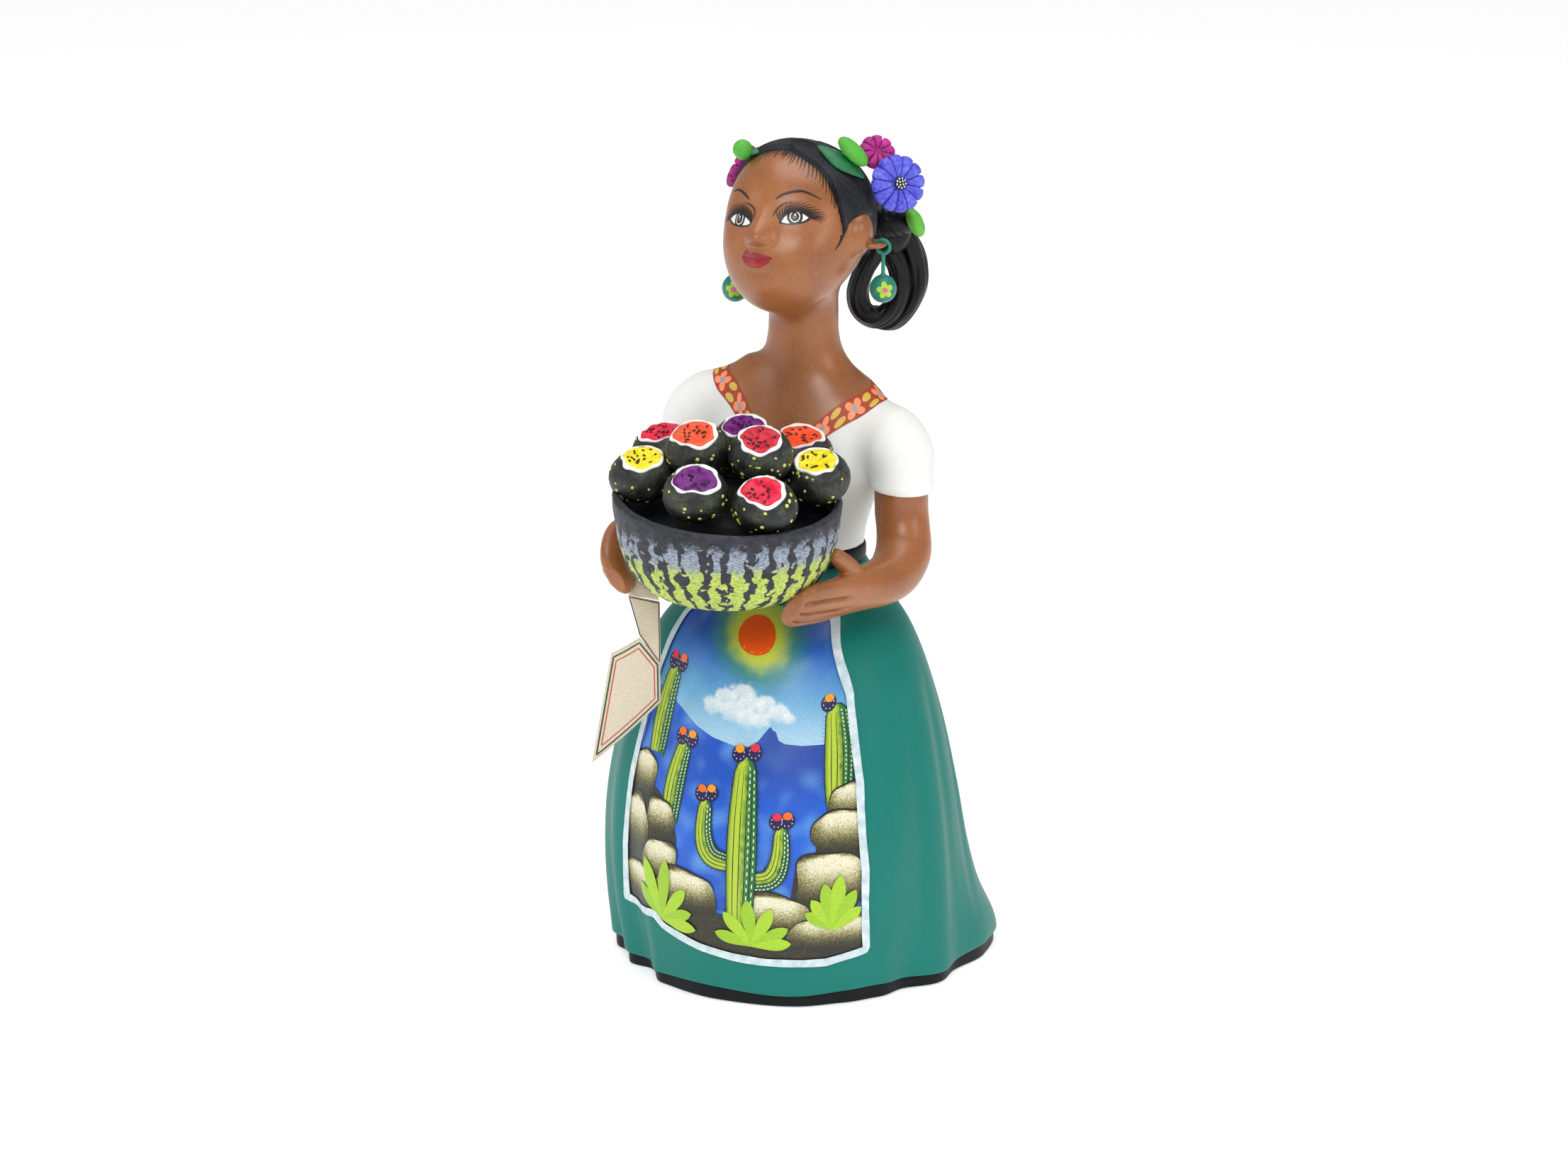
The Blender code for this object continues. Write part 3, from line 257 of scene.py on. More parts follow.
# Face: places in millimetres across and up from the middle of the face
EYES = {
    "left": {
        "upper": ((6.7, -2.9), (7.8, -0.5), (9.4, 1.1), (11.8, 2.0), (14.3, 1.9), (16.5, 0.7), (18.4, -0.8)),
        "lower": ((18.4, -0.8), (15.6, -2.5), (12.0, -3.3), (9.7, -3.4), (7.7, -3.1), (6.7, -2.9)),
        "iris": (12.2, -0.5),
        "lashes": ((5.2, 1.2), (6.6, 2.8), (9.2, 4.7), (11.8, 6.1), (14.6, 6.0), (17.8, 5.1), (21.1, 3.7),
                   (23.8, 1.8), (24.9, 0.1), (24.6, -1.8)),
        "crease": ((4.2, -0.6), (4.9, 1.6), (6.3, 3.4), (8.6, 4.9), (11.0, 5.5)),
        "brow": ((4.1, 6.1), (7.0, 8.3), (11.1, 9.8), (14.7, 10.3), (18.6, 9.2), (22.4, 7.6)),
    },
    "right": {
        "upper": ((-3.5, -3.1), (-5.0, -2.0), (-6.7, -1.0), (-9.8, 0.3), (-13.1, 0.7), (-16.3, 0.0),
                  (-19.4, -1.9)),
        "lower": ((-19.4, -1.9), (-15.5, -3.7), (-10.7, -4.5), (-6.5, -4.3), (-4.2, -3.6), (-3.5, -3.1)),
        "iris": (-11.2, -1.9),
        "lashes": ((-4.0, 0.0), (-6.6, 2.0), (-9.4, 3.5), (-12.6, 4.5), (-15.4, 4.7), (-18.7, 4.2),
                   (-21.6, 3.1), (-23.4, 1.4), (-23.9, -0.4), (-23.4, -2.0)),
        "crease": ((-2.6, -1.2), (-3.6, 1.0), (-5.4, 2.8), (-8.2, 4.0), (-11.0, 4.5)),
        "brow": ((-8.3, 5.9), (-12.2, 8.6), (-16.7, 10.3), (-21.9, 10.0)),
    },
}
LIP_OUTLINE = (
    (-6.8, -14.0), (-5.6, -12.4), (-4.3, -11.4), (-3.4, -11.9), (-2.6, -12.5), (-1.8, -12.0),
    (-0.9, -11.8), (0.8, -12.1), (2.4, -12.7), (4.8, -13.9), (3.8, -14.9), (2.5, -15.7), (1.0, -16.2),
    (-0.5, -16.5), (-1.9, -16.6), (-3.3, -16.5), (-4.5, -16.2), (-5.6, -15.3),
)
LIP_LINE = ((-6.5, -14.0), (-4.6, -13.7), (-2.9, -14.2), (-1.2, -13.8), (1.6, -13.9), (4.6, -13.9))

# Apron: distance round the skirt from the front and height of each edge of the picture
APRON_LEFT = (
    (20, -54.5), (31.7, -52.4), (54.5, -51.7), (83.2, -48.5), (113.7, -42.5), (135.7, -38.0),
    (147.3, -35.0), (156, -27.0),
)
APRON_RIGHT = ((20, 61.0), (24, 60.3), (57.1, 60.5), (92.3, 55.8), (125.9, 46.8), (150.3, 32.4), (156, 26.0))
APRON_BOTTOM = (
    (-56, 32.5), (-52.4, 31.7), (-40, 31.0), (-29, 32.0), (-24, 28.0), (-6, 23.3), (8, 21.0), (20, 20.1),
    (44, 20.0), (60.3, 23.8), (64, 24.0),
)
APRON_TOP, APRON_SPACING, FINE_SPACING = 156, 1.3, 0.8
# the sky from the ground up: height, colour
SKY = ((20, (22, 96, 196)), (96, (30, 104, 200)), (104, (176, 208, 226)), (112, (150, 194, 222)),
       (124, (88, 158, 204)), (136, (36, 108, 190)), (148, (10, 72, 168)), (158, (8, 62, 150)))
# the heaps of the cloud: place, radius
CLOUD = (
    (-8, 119, 5.2), (-3, 122.5, 5.6), (3.6, 124.8, 5.8), (8.5, 121.0, 6.0), (14, 121.2, 5.0),
    (19.5, 118.6, 5.2), (1.0, 118.0, 6.0), (7.5, 116.2, 5.4), (13, 115.6, 4.6), (24, 116.6, 3.4),
)
SUN_GLOW = (4.1, 145)
# the skyline of the far mountains, then the ground under them
MOUNTAINS = (
    (-40, 122), (-30, 119.5), (-20, 114), (-14.3, 110.6), (-6, 107.4), (4, 105.4), (10, 105.6), (13.2, 107.8),
    (15.4, 111.0), (17.4, 113.6), (18.6, 112.2), (19.8, 111.8), (21.4, 108.6), (24, 107.4), (31, 106.8),
    (40, 107.2), (56, 110), (58, 60), (40, 40), (-40, 40), (-50, 60),
)
GROUND = (
    (-50, 34), (-30, 41), (-8, 40), (6, 38), (20, 37), (40, 36), (60, 36), (60, 22), (30, 19), (-10, 22),
    (-30, 30), (-50, 32),
)
# cacti behind and in front of the boulders: spine, half width, layer, number that sets its speckle and fruit
FAR_CACTI = (
    (((-33.4, 96), (-32.4, 112), (-29.6, 130.0)), 5.2, 2, 0),
    (((48.4, 84), (46.2, 104), (42.4, 122.0)), 6.0, 2, 2),
    (((-22.4, 72), (-21.0, 88), (-18.0, 104.0)), 4.8, 6, 4),
)
NEAR_CACTI = (
    (((9.0, 60), (-1.0, 62), (-5.0, 70), (-5.2, 85.0)), 4.0, 24, 1),
    (((13.0, 53), (23.0, 55), (26.6, 63), (26.6, 77.0)), 4.0, 27, 3),
    (((11.0, 34), (11.4, 60), (10.8, 82), (9.8, 102.0)), 6.0, 31, 5),
)
# boulders from the back to the front: centre, half sizes
ROCKS = (
    ((-39.5, 86), (8, 10.5)), ((-27.5, 71.5), (7.8, 8.8)), ((-43, 65), (9.5, 13)), ((-26.5, 53), (10, 11.2)),
    ((-40, 41), (11.5, 10.4)), ((-14, 44.5), (15, 9.8)), ((53.5, 84), (9.5, 8.8)), ((50, 72.5), (11, 10.4)),
    ((47, 52.5), (14.8, 13.8)), ((22, 38.5), (17, 10.4)), ((49, 31.5), (19, 8.4)),
)
# the dark ground behind and under them
ROCK_SHADOWS = (
    ((-56, 95), (-36, 95), (-32, 84), (-22, 78), (-18, 66), (-18, 52), (-2, 50), (-2, 30), (-56, 30)),
    ((60, 92), (50, 90), (46, 80), (41, 72), (40, 64), (33, 62), (31, 46), (60, 46)),
)
# agaves: foot, tips of the leaves
AGAVES = (
    ((-24.3, 31.2), ((-38, 43.5), (-34.6, 55.0), (-22.6, 56.4), (-12.4, 46.0), (-9.4, 36.6), (-7.4, 30.0))),
    ((16.0, 27.0), ((1.0, 31.0), (4.6, 40.0), (14.0, 46.0), (24.0, 43.0), (30.0, 35.0), (31.0, 28.6))),
    ((47.4, 34.0), ((36.6, 41.6), (39.0, 47.0), (44.1, 53.4), (50.6, 56.6), (56.6, 50.0), (58.6, 42.6))),
)


# ---------------------------------------------------------------- numbers and curves

def rgb(red, green, blue):
    """A display colour of 0 to 255 as the linear colour that shaders use."""
    values = np.array([red, green, blue], float) / 255
    return tuple(np.where(values <= 0.04045, values / 12.92, ((values + 0.055) / 1.055) ** 2.4))


INK = rgb(12, 12, 11)
TAG_GREEN, TAG_RED = rgb(52, 78, 48), rgb(188, 70, 54)
PULP = {"purple": rgb(104, 4, 112), "pink": rgb(222, 22, 62), "yellow": rgb(240, 222, 30),
        "orange": rgb(248, 84, 44), "crimson": rgb(196, 26, 52)}


def eased(table, at):
    """Value of a (position, value) table with a cosine ease between rows."""
    table = np.asarray(table, float)
    at = np.asarray(at, float)
    index = np.clip(np.searchsorted(table[:, 0], at, side="right") - 1, 0, len(table) - 2)
    low, high = table[index], table[index + 1]
    share = np.clip((at - low[..., 0]) / (high[..., 0] - low[..., 0]), 0, 1)
    share = 0.5 - 0.5 * np.cos(np.pi * share)
    return low[..., 1] * (1 - share) + high[..., 1] * share


def curved(table, at):
    """Value of a (position, value) table on a smooth curve through its rows."""
    table = np.asarray(table, float)
    x, y = table[:, 0], table[:, 1]
    slopes = np.gradient(y, x)
    at = np.clip(np.asarray(at, float), x[0], x[-1])
    k = np.clip(np.searchsorted(x, at, side="right") - 1, 0, len(x) - 2)
    width = x[k + 1] - x[k]
    t = (at - x[k]) / width
    return (y[k] * (1 + 2 * t) * (1 - t) ** 2 + y[k + 1] * t * t * (3 - 2 * t)
            + width * (slopes[k] * t * (1 - t) ** 2 - slopes[k + 1] * t * t * (1 - t)))


def smooth_points(points, count):
    """A Catmull-Rom curve through the rows, sampled evenly by index."""
    points = np.asarray(points, float)
    padded = np.vstack([2 * points[0] - points[1], points, 2 * points[-1] - points[-2]])
    value = np.linspace(0, len(points) - 1, count)
    k = np.minimum(value.astype(int), len(points) - 2)
    t = (value - k)[:, None]
    a, b, c, d = padded[k], padded[k + 1], padded[k + 2], padded[k + 3]
    return 0.5 * (2 * b + (c - a) * t + (2 * a - 5 * b + 4 * c - d) * t**2 + (3 * b - a - 3 * c + d) * t**3)


def step_between(value, low, high):
    """0 below low, 1 above high, with an eased step between them."""
    share = np.clip((np.asarray(value, float) - low) / (high - low), 0, 1)
    return share * share * (3 - 2 * share)


def unit(vector):
    vector = np.asarray(vector, float)
    return vector / np.linalg.norm(vector)


def unit_axes(forward, hint=(0, 0, 1)):
    """Three rows: across, up, forward."""
    forward = unit(forward)
    across = unit(np.cross(hint, forward))
    return np.array([across, np.cross(forward, across), forward])


def unit_rows(vectors):
    return vectors / np.maximum(np.linalg.norm(vectors, axis=-1, keepdims=True), 1e-9)


def wander(points, size, seed=0.0):
    """Smooth noise between -1 and 1 at each point, with features about `size` millimetres across."""
    scaled = np.asarray(points, float) / size + seed
    flat = scaled.reshape(-1, 3)
    return np.array([noise.noise(Vector(point)) for point in flat]).reshape(scaled.shape[:-1])


# ---------------------------------------------------------------- meshes

def placed(name, data):
    """A new object in the scene that holds a mesh, a lamp or a camera."""
    obj = bpy.data.objects.new(name, data)
    bpy.context.scene.collection.objects.link(obj)
    return obj


def make_mesh(name, verts, faces):
    """A smooth-shaded mesh object from millimetre points in the figure's frame."""
    mesh = bpy.data.meshes.new(name)
    mesh.from_pydata(((np.asarray(verts, float).reshape(-1, 3) + OFFSET) * MM).tolist(), [],
                     [tuple(face) for face in faces])
    mesh.shade_smooth()
    return placed(name, mesh)


def grid_faces(rows, columns, wrap_columns=True, wrap_rows=False):
    """Quads over a grid of points that is numbered row by row."""
    down = np.arange(rows if wrap_rows else rows - 1)
    along = np.arange(columns if wrap_columns else columns - 1)
    i, k = np.meshgrid(down, along, indexing="ij")
    j, m = (i + 1) % rows, (k + 1) % columns
    quads = np.stack([i * columns + k, i * columns + m, j * columns + m, j * columns + k], -1)
    return quads.reshape(-1, 4).tolist()


def skin(name, rings, wrap_rows=False):
    """A closed skin over equal rings: its ends are capped with a fan, or joined to each other."""
    rings = np.asarray(rings, float)
    rows, columns = rings.shape[:2]
    verts, faces = rings.reshape(-1, 3), grid_faces(rows, columns, True, wrap_rows)
    if not wrap_rows:
        count = len(verts)
        verts = np.vstack([verts, rings[0].mean(0), rings[-1].mean(0)])
        for k in range(columns):
            m = (k + 1) % columns
            faces.append((count, m, k))
            faces.append((count + 1, (rows - 1) * columns + k, (rows - 1) * columns + m))
    obj = make_mesh(name, verts, faces)
    outward(obj)
    return obj


def outward(obj):
    """Turns every face of a closed mesh outward."""
    shape = bmesh.new()
    shape.from_mesh(obj.data)
    bmesh.ops.recalc_face_normals(shape, faces=shape.faces)
    if shape.calc_volume(signed=True) < 0:
        bmesh.ops.reverse_faces(shape, faces=shape.faces)
    shape.to_mesh(obj.data)
    shape.free()


def tube_rings(path, widths, thicks, sides, out=(0, 0, 1)):
    """Rings along a path: width runs across `out`, thickness along it."""
    path = np.asarray(path, float)
    widths, thicks = np.broadcast_to(widths, len(path)), np.broadcast_to(thicks, len(path))
    angles = np.linspace(0, 2 * np.pi, sides, endpoint=False)
    rings = []
    for point, along, wide, thick in zip(path, np.gradient(path, axis=0), widths, thicks):
        along = unit(along)
        outward_way = unit(np.asarray(out, float) - np.dot(out, along) * along)
        side = np.cross(along, outward_way)
        rings.append(point + wide * np.outer(np.cos(angles), side)
                     + thick * np.outer(np.sin(angles), outward_way))
    return np.array(rings)


def domed(path, radii):
    """A path and radii with round ends added."""
    path = np.asarray(path, float)
    radii = np.broadcast_to(radii, len(path)).astype(float)
    turns = np.linspace(0, np.pi / 2, 7)[1:]
    start_way, end_way = unit(path[0] - path[1]), unit(path[-1] - path[-2])
    start = [path[0] + start_way * radii[0] * math.sin(turn) for turn in turns[::-1]]
    end = [path[-1] + end_way * radii[-1] * math.sin(turn) for turn in turns]
    fall = np.maximum(np.cos(turns), 0.03)
    return (np.vstack([start, path, end]),
            np.concatenate([radii[0] * fall[::-1], radii, radii[-1] * fall]))


def ball_rings(centre, halves, axes=np.eye(3), segments=48, levels=32):
    """Rings of an ellipsoid whose half sizes run along the rows of axes."""
    lat = np.linspace(-np.pi / 2, np.pi / 2, levels)[:, None]
    lat = np.clip(lat, -np.pi / 2 + 0.02, np.pi / 2 - 0.02)
    turn = np.linspace(0, 2 * np.pi, segments, endpoint=False)[None, :]
    sphere = np.stack([np.cos(lat) * np.cos(turn), np.cos(lat) * np.sin(turn), np.sin(lat) + 0 * turn], -1)
    return np.asarray(centre) + (sphere * np.asarray(halves)) @ np.asarray(axes)


def fused(name, parts, voxel, smoothing):
    """Joins closed meshes into one skin by a voxel remesh, and returns its object."""
    bpy.ops.object.select_all(action="DESELECT")
    for part in parts:
        part.select_set(True)
    bpy.context.view_layer.objects.active = parts[0]
    bpy.ops.object.join()
    joined = bpy.context.view_layer.objects.active
    remesh = joined.modifiers.new("Fuse", "REMESH")
    remesh.mode = "VOXEL"
    remesh.voxel_size = voxel * MM
    relax = joined.modifiers.new("Relax", "SMOOTH")
    relax.factor = 0.5
    relax.iterations = smoothing
    bpy.context.view_layer.update()
    graph = bpy.context.evaluated_depsgraph_get()
    mesh = bpy.data.meshes.new_from_object(joined.evaluated_get(graph))
    mesh.shade_smooth()
    bpy.data.objects.remove(joined, do_unlink=True)
    return placed(name, mesh)


def mesh_points(obj):
    """The points of a mesh in millimetres in the figure's frame."""
    flat = np.empty(len(obj.data.vertices) * 3, np.float32)
    obj.data.vertices.foreach_get("co", flat)
    return flat.reshape(-1, 3).astype(float) / MM - OFFSET


def set_points(obj, points):
    """Moves the points of a mesh to new places in millimetres."""
    obj.data.vertices.foreach_set("co", ((points + OFFSET) * MM).astype(np.float32).ravel())
    obj.data.update()


def relax_near(obj, points, weights, rounds):
    """Moves each point towards the mean of its neighbours, by its weight."""
    ends = np.empty(len(obj.data.edges) * 2, np.int32)
    obj.data.edges.foreach_get("vertices", ends)
    ends = ends.reshape(-1, 2)
    both = np.concatenate([ends, ends[:, ::-1]])
    count = np.maximum(np.bincount(both[:, 0], minlength=len(points)), 1)
    for _ in range(rounds):
        mean = np.stack([np.bincount(both[:, 0], points[both[:, 1], axis], len(points))
                         for axis in range(3)], 1)
        points = points + (mean / count[:, None] - points) * weights[:, None]
    return points


def keep_faces(obj, name, wanted):
    """A copy of a mesh with only the wanted faces."""
    copy = placed(name, obj.data.copy())
    copy.data.name = name
    shape = bmesh.new()
    shape.from_mesh(copy.data)
    shape.faces.ensure_lookup_table()
    unwanted = [face for face, keep in zip(shape.faces, wanted) if not keep]
    bmesh.ops.delete(shape, geom=unwanted, context="FACES")
    shape.to_mesh(copy.data)
    shape.free()
    return copy


# ---------------------------------------------------------------- materials

class Coat:
    """One procedural material, built a node at a time."""

    def __init__(self, name, roughness, **sockets):
        self.material = bpy.data.materials.new(name)
        self.material.use_nodes = True
        self.tree = self.material.node_tree
        self.shader = self.tree.nodes["Principled BSDF"]
        self.shader.inputs["Roughness"].default_value = roughness
        for socket, value in sockets.items():
            self.shader.inputs[socket.replace("_", " ")].default_value = value
        self.place = self.tree.nodes.new("ShaderNodeTexCoord").outputs["Object"]

    def feed(self, socket, value):
        """Sets a socket to a number, a triple or a colour, or links another socket to it."""
        if isinstance(value, bpy.types.NodeSocket):
            self.tree.links.new(value, socket)
        elif isinstance(value, tuple) and socket.type == "RGBA":
            socket.default_value = (*value, 1)
        else:
            socket.default_value = value

    def node(self, kind, **inputs):
        """A new shader node with some of its inputs fed."""
        node = self.tree.nodes.new("ShaderNode" + kind)
        for name, value in inputs.items():
            self.feed(node.inputs[name.replace("_", " ")], value)
        return node

    def noise(self, size, detail, stretch=(1, 1, 1), distortion=0.0, rough=0.55):
        """Noise from 0 to 1 whose features are about `size` millimetres across."""
        place = self.node("Mapping", Scale=stretch, Vector=self.place).outputs["Vector"]
        return self.node("TexNoise", Vector=place, Scale=1 / (size * MM), Detail=detail, Roughness=rough,
                         Distortion=distortion).outputs[0]

    def axis(self, which):
        """One coordinate of the place on the object, in metres."""
        return self.node("SeparateXYZ", Vector=self.place).outputs[which]

    def math(self, operation, first, second=0.0, third=0.0):
        """A sum of sockets or numbers."""
        node = self.node("Math")
        node.operation = operation
        for socket, value in zip(node.inputs, (first, second, third)):
            self.feed(socket, value)
        return node.outputs[0]

    def spread(self, source, low, high):
        """Maps low..high to 0..1 with soft ends."""
        node = self.node("MapRange", Value=source, From_Min=low, From_Max=high)
        node.interpolation_type = "SMOOTHSTEP"
        return node.outputs["Result"]

    def ramp(self, source, *stops):
        """A colour ramp through (position, colour) stops."""
        node = self.node("ValToRGB", Fac=source)
        elements = node.color_ramp.elements
        while len(elements) < len(stops):
            elements.new(0.5)
        for element, (position, colour) in zip(elements, stops):
            element.position = position
            element.color = (*colour, 1)
        return node.outputs[0]

    def mix(self, factor, first, second, blend="MIX"):
        """Two colours mixed, or multiplied."""
        node = self.node("Mix")
        node.data_type = "RGBA"
        node.blend_type = blend
        for number, value in ((0, factor), (6, first), (7, second)):
            self.feed(node.inputs[number], value)
        return node.outputs[2]

    def painted(self):
        """The colour that a Canvas stored on the points."""
        node = self.node("Attribute")
        node.attribute_name = "paint"
        return node.outputs["Color"]

    def colour(self, source):
        self.feed(self.shader.inputs["Base Color"], source)

    def sheen_of(self, source, low, high):
        """Roughness that follows a pattern between two values."""
        node = self.node("MapRange", Value=source, To_Min=low, To_Max=high)
        self.feed(self.shader.inputs["Roughness"], node.outputs["Result"])

    def bump(self, *heights):
        """Each height is (pattern, depth in millimetres); each adds to the ones before it."""
        below = {}
        for pattern, depth in heights:
            node = self.node("Bump", Distance=depth * MM, Height=pattern, **below)
            below = {"Normal": node.outputs["Normal"]}
        self.feed(self.shader.inputs["Normal"], below["Normal"])


def brushed(name, colour, roughness, change, size, relief, stretch=(1, 1, 1), **sockets):
    """Hand-brushed paint: a colour that drifts a little, with fine brush marks in relief."""
    coat = Coat(name, roughness, **sockets)
    drift = coat.noise(size, 4)
    streak = coat.noise(1.6, 3, stretch)
    shade = coat.math("MULTIPLY_ADD", streak, 0.45, coat.math("MULTIPLY", drift, 0.55))
    darker = tuple(value * (1 - change) for value in colour)
    lighter = tuple(min(value * (1 + change), 1) for value in colour)
    coat.colour(coat.ramp(shade, (0.36, darker), (0.5, colour), (0.64, lighter)))
    coat.sheen_of(drift, roughness - 0.05, roughness + 0.07)
    coat.bump((coat.noise(7, 2), relief * 2.2), (streak, relief))
    return coat.material


def skin_clay():
    """Burnished brown clay paint with a soft gloss and faint darker clouds."""
    coat = Coat("skin_clay", 0.36, Coat_Weight=0.12, Coat_Roughness=0.3)
    cloud = coat.noise(20, 3)
    fine = coat.noise(0.9, 3)
    warm = coat.ramp(cloud, (0.3, rgb(126, 72, 33)), (0.52, rgb(144, 84, 40)), (0.72, rgb(156, 95, 48)))
    coat.colour(coat.mix(0.25, warm, coat.ramp(fine, (0.35, rgb(150, 92, 52)), (0.65, rgb(188, 125, 80)))))
    coat.sheen_of(cloud, 0.31, 0.43)
    coat.bump((coat.noise(4, 2), 0.05), (fine, 0.02))
    return coat.material


def bowl_paint():
    """Charcoal rim, a dry-brushed grey band and a lime foot, broken by dark blotched ribs."""
    coat = Coat("bowl_paint", 0.55)
    x = coat.math("SUBTRACT", coat.axis("X"), float(BOWL_CENTRE[0] + OFFSET[0]) * MM)
    y = coat.math("SUBTRACT", coat.axis("Y"), float(BOWL_CENTRE[1] + OFFSET[1]) * MM)
    angle = coat.math("ARCTAN2", y, x)
    wobble = coat.noise(5, 2)
    ribs = coat.math("SINE", coat.math("ADD", coat.math("MULTIPLY", angle, float(BOWL_RIBS)),
                                       coat.math("MULTIPLY", wobble, 9.0)))
    height = coat.math("MULTIPLY", coat.axis("Z"), 1 / MM)
    streaks = coat.noise(2.0, 4, (1, 1, 2.6), 0.6)
    ragged = coat.math("MULTIPLY_ADD", streaks, 11.0, coat.math("SUBTRACT", height, 5.5))
    foot = coat.ramp(coat.noise(1.6, 4, (1, 1, 3)), (0.36, rgb(140, 160, 55)), (0.55, rgb(186, 202, 92)),
                     (0.72, rgb(206, 216, 130)))
    band = coat.ramp(coat.noise(1.4, 4, (1, 1, 3.4)), (0.34, rgb(82, 92, 112)), (0.6, rgb(158, 168, 182)),
                     (0.75, rgb(196, 204, 212)))
    dark = coat.ramp(coat.noise(3, 3), (0.35, rgb(17, 19, 26)), (0.7, rgb(40, 46, 58)))
    low = coat.mix(coat.spread(ragged, 186.0, 191.0), foot, band)
    whole = coat.mix(coat.spread(ragged, 194.5, 201.0), low, dark)
    blotch = coat.math("MULTIPLY_ADD", coat.noise(3.6, 3, (1, 1, 0.9)), 4.6, ribs)
    mask = coat.spread(blotch, 2.5, 2.8)
    coat.colour(coat.mix(mask, whole, dark))
    coat.bump((coat.noise(1.8, 3, (1, 1, 2.4)), 0.5), (mask, -0.35), (coat.noise(9, 2), 0.5))
    return coat.material


def fruit_paint():
    """Dark olive fruit skin, dry-brushed with lighter green."""
    coat = Coat("fruit_paint", 0.5)
    dry = coat.noise(1.0, 4)
    brushed_on = coat.ramp(dry, (0.4, rgb(36, 39, 32)), (0.62, rgb(66, 72, 52)), (0.76, rgb(96, 104, 74)))
    coat.colour(coat.mix(coat.spread(coat.noise(6, 3), 0.42, 0.66), rgb(20, 21, 22), brushed_on))
    coat.bump((coat.noise(5, 2), 0.35), (dry, 0.1))
    return coat.material


def from_paint(name, roughness, speckle, size, relief):
    """Paint whose colour is set shape by shape, with fine unevenness over it."""
    coat = Coat(name, roughness)
    fine = coat.noise(size, 3)
    lift = coat.ramp(fine, (0.3, (1 - speckle,) * 3), (0.7, (1 + speckle * 0.4,) * 3))
    coat.colour(coat.mix(1.0, coat.painted(), lift, "MULTIPLY"))
    coat.bump((fine, relief))
    return coat.material


def rock_paint():
    """Sponged rock: cream dabs that thin out into dark olive away from each lit edge."""
    coat = Coat("rock_paint", 0.45)
    shade = coat.painted()
    grain = coat.noise(0.55, 4, rough=0.75)
    value = coat.math("MULTIPLY_ADD", coat.math("SUBTRACT", grain, 0.5), 1.25, shade)
    coat.colour(coat.ramp(value, (0.12, rgb(34, 33, 20)), (0.38, rgb(96, 90, 48)), (0.62, rgb(168, 162, 112)),
                          (0.85, rgb(232, 228, 198))))
    coat.bump((grain, 0.04))
    return coat.material


def sky_paint():
    """Blended sky colours with the dry marks of a wide brush."""
    coat = Coat("sky_paint", 0.4)
    marks = coat.noise(0.8, 4, (1, 1, 1.6), 0.4)
    lift = coat.ramp(marks, (0.3, (0.82, 0.86, 0.9)), (0.55, (1, 1, 1)), (0.78, (1.3, 1.18, 1.08)))
    coat.colour(coat.mix(1.0, coat.painted(), lift, "MULTIPLY"))
    coat.bump((marks, 0.02))
    return coat.material


def hair_paint(name, dark, light, roughness):
    """Near-black paint over clay, with long faint comb marks."""
    coat = Coat(name, roughness, Specular_IOR_Level=0.22)
    marks = coat.noise(1.1, 3, (1, 1, 0.25))
    coat.colour(coat.ramp(coat.math("MULTIPLY_ADD", coat.noise(9, 3), 0.6, coat.math("MULTIPLY", marks, 0.4)),
                          (0.38, dark), (0.66, light)))
    coat.sheen_of(marks, roughness - 0.06, roughness + 0.1)
    coat.bump((marks, 0.12), (coat.noise(6, 2), 0.2))
    return coat.material


def petal_paint(name, deep, pale):
    """Dabbed petal colour, paler towards the dry-brushed high spots."""
    coat = Coat(name, 0.6)
    dabs = coat.noise(1.3, 4, rough=0.7)
    shade = coat.math("MULTIPLY_ADD", coat.noise(5, 2), 0.45, coat.math("MULTIPLY", dabs, 0.55))
    between = tuple((a + b) / 2 for a, b in zip(deep, pale))
    coat.colour(coat.ramp(shade, (0.36, deep), (0.52, between), (0.64, pale)))
    coat.bump((dabs, 0.14))
    return coat.material


def paper():
    """Uncoated cream card with visible fibre."""
    coat = Coat("tag_paper", 0.85)
    fibre = coat.noise(0.5, 5, (1, 1, 1), 0.8, 0.7)
    coat.colour(coat.mix(coat.spread(fibre, 0.3, 0.7), rgb(196, 180, 158), rgb(222, 211, 192)))
    coat.bump((fibre, 0.05))
    return coat.material


def floor_paint():
    """The pale floor, which glows a little so that it stays even to its edge."""
    coat = Coat("floor", 0.9, Emission_Color=(1, 1, 1, 1), Emission_Strength=FLOOR_GLOW)
    coat.colour(coat.ramp(coat.noise(400, 2), (0.2, (0.93, 0.93, 0.93)), (0.8, (0.96, 0.96, 0.96))))
    return coat.material


def dress(obj, material, slot, body, *nodes):
    """Gives a piece its material and its body, and hides the CAD nodes that it stands for; the slot is not
    used.
    """
    obj.data.materials.clear()
    obj.data.materials.append(material)
    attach(obj, body)
    if nodes:
        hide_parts(*nodes)
    return obj


# ---------------------------------------------------------------- skirt, hem and waistband

def front_radius(height):
    """Radius of the front half of the skirt, without its folds."""
    return curved([row[:2] for row in SKIRT_RADII], height)


def skirt_radius(angle, height):
    """Radius of the skirt at an angle in degrees from the front and a height."""
    angle = (np.asarray(angle, float) + 180) % 360 - 180
    share = step_between(150 - np.abs(angle), 0, 110)
    back = curved([(row[0], row[2]) for row in SKIRT_RADII], height)
    fade = np.clip(1 - np.asarray(height, float) / FOLD_TOP, 0, 1) ** 1.3
    return front_radius(height) * share + back * (1 - share) + eased(SKIRT_FOLDS, angle) * fade


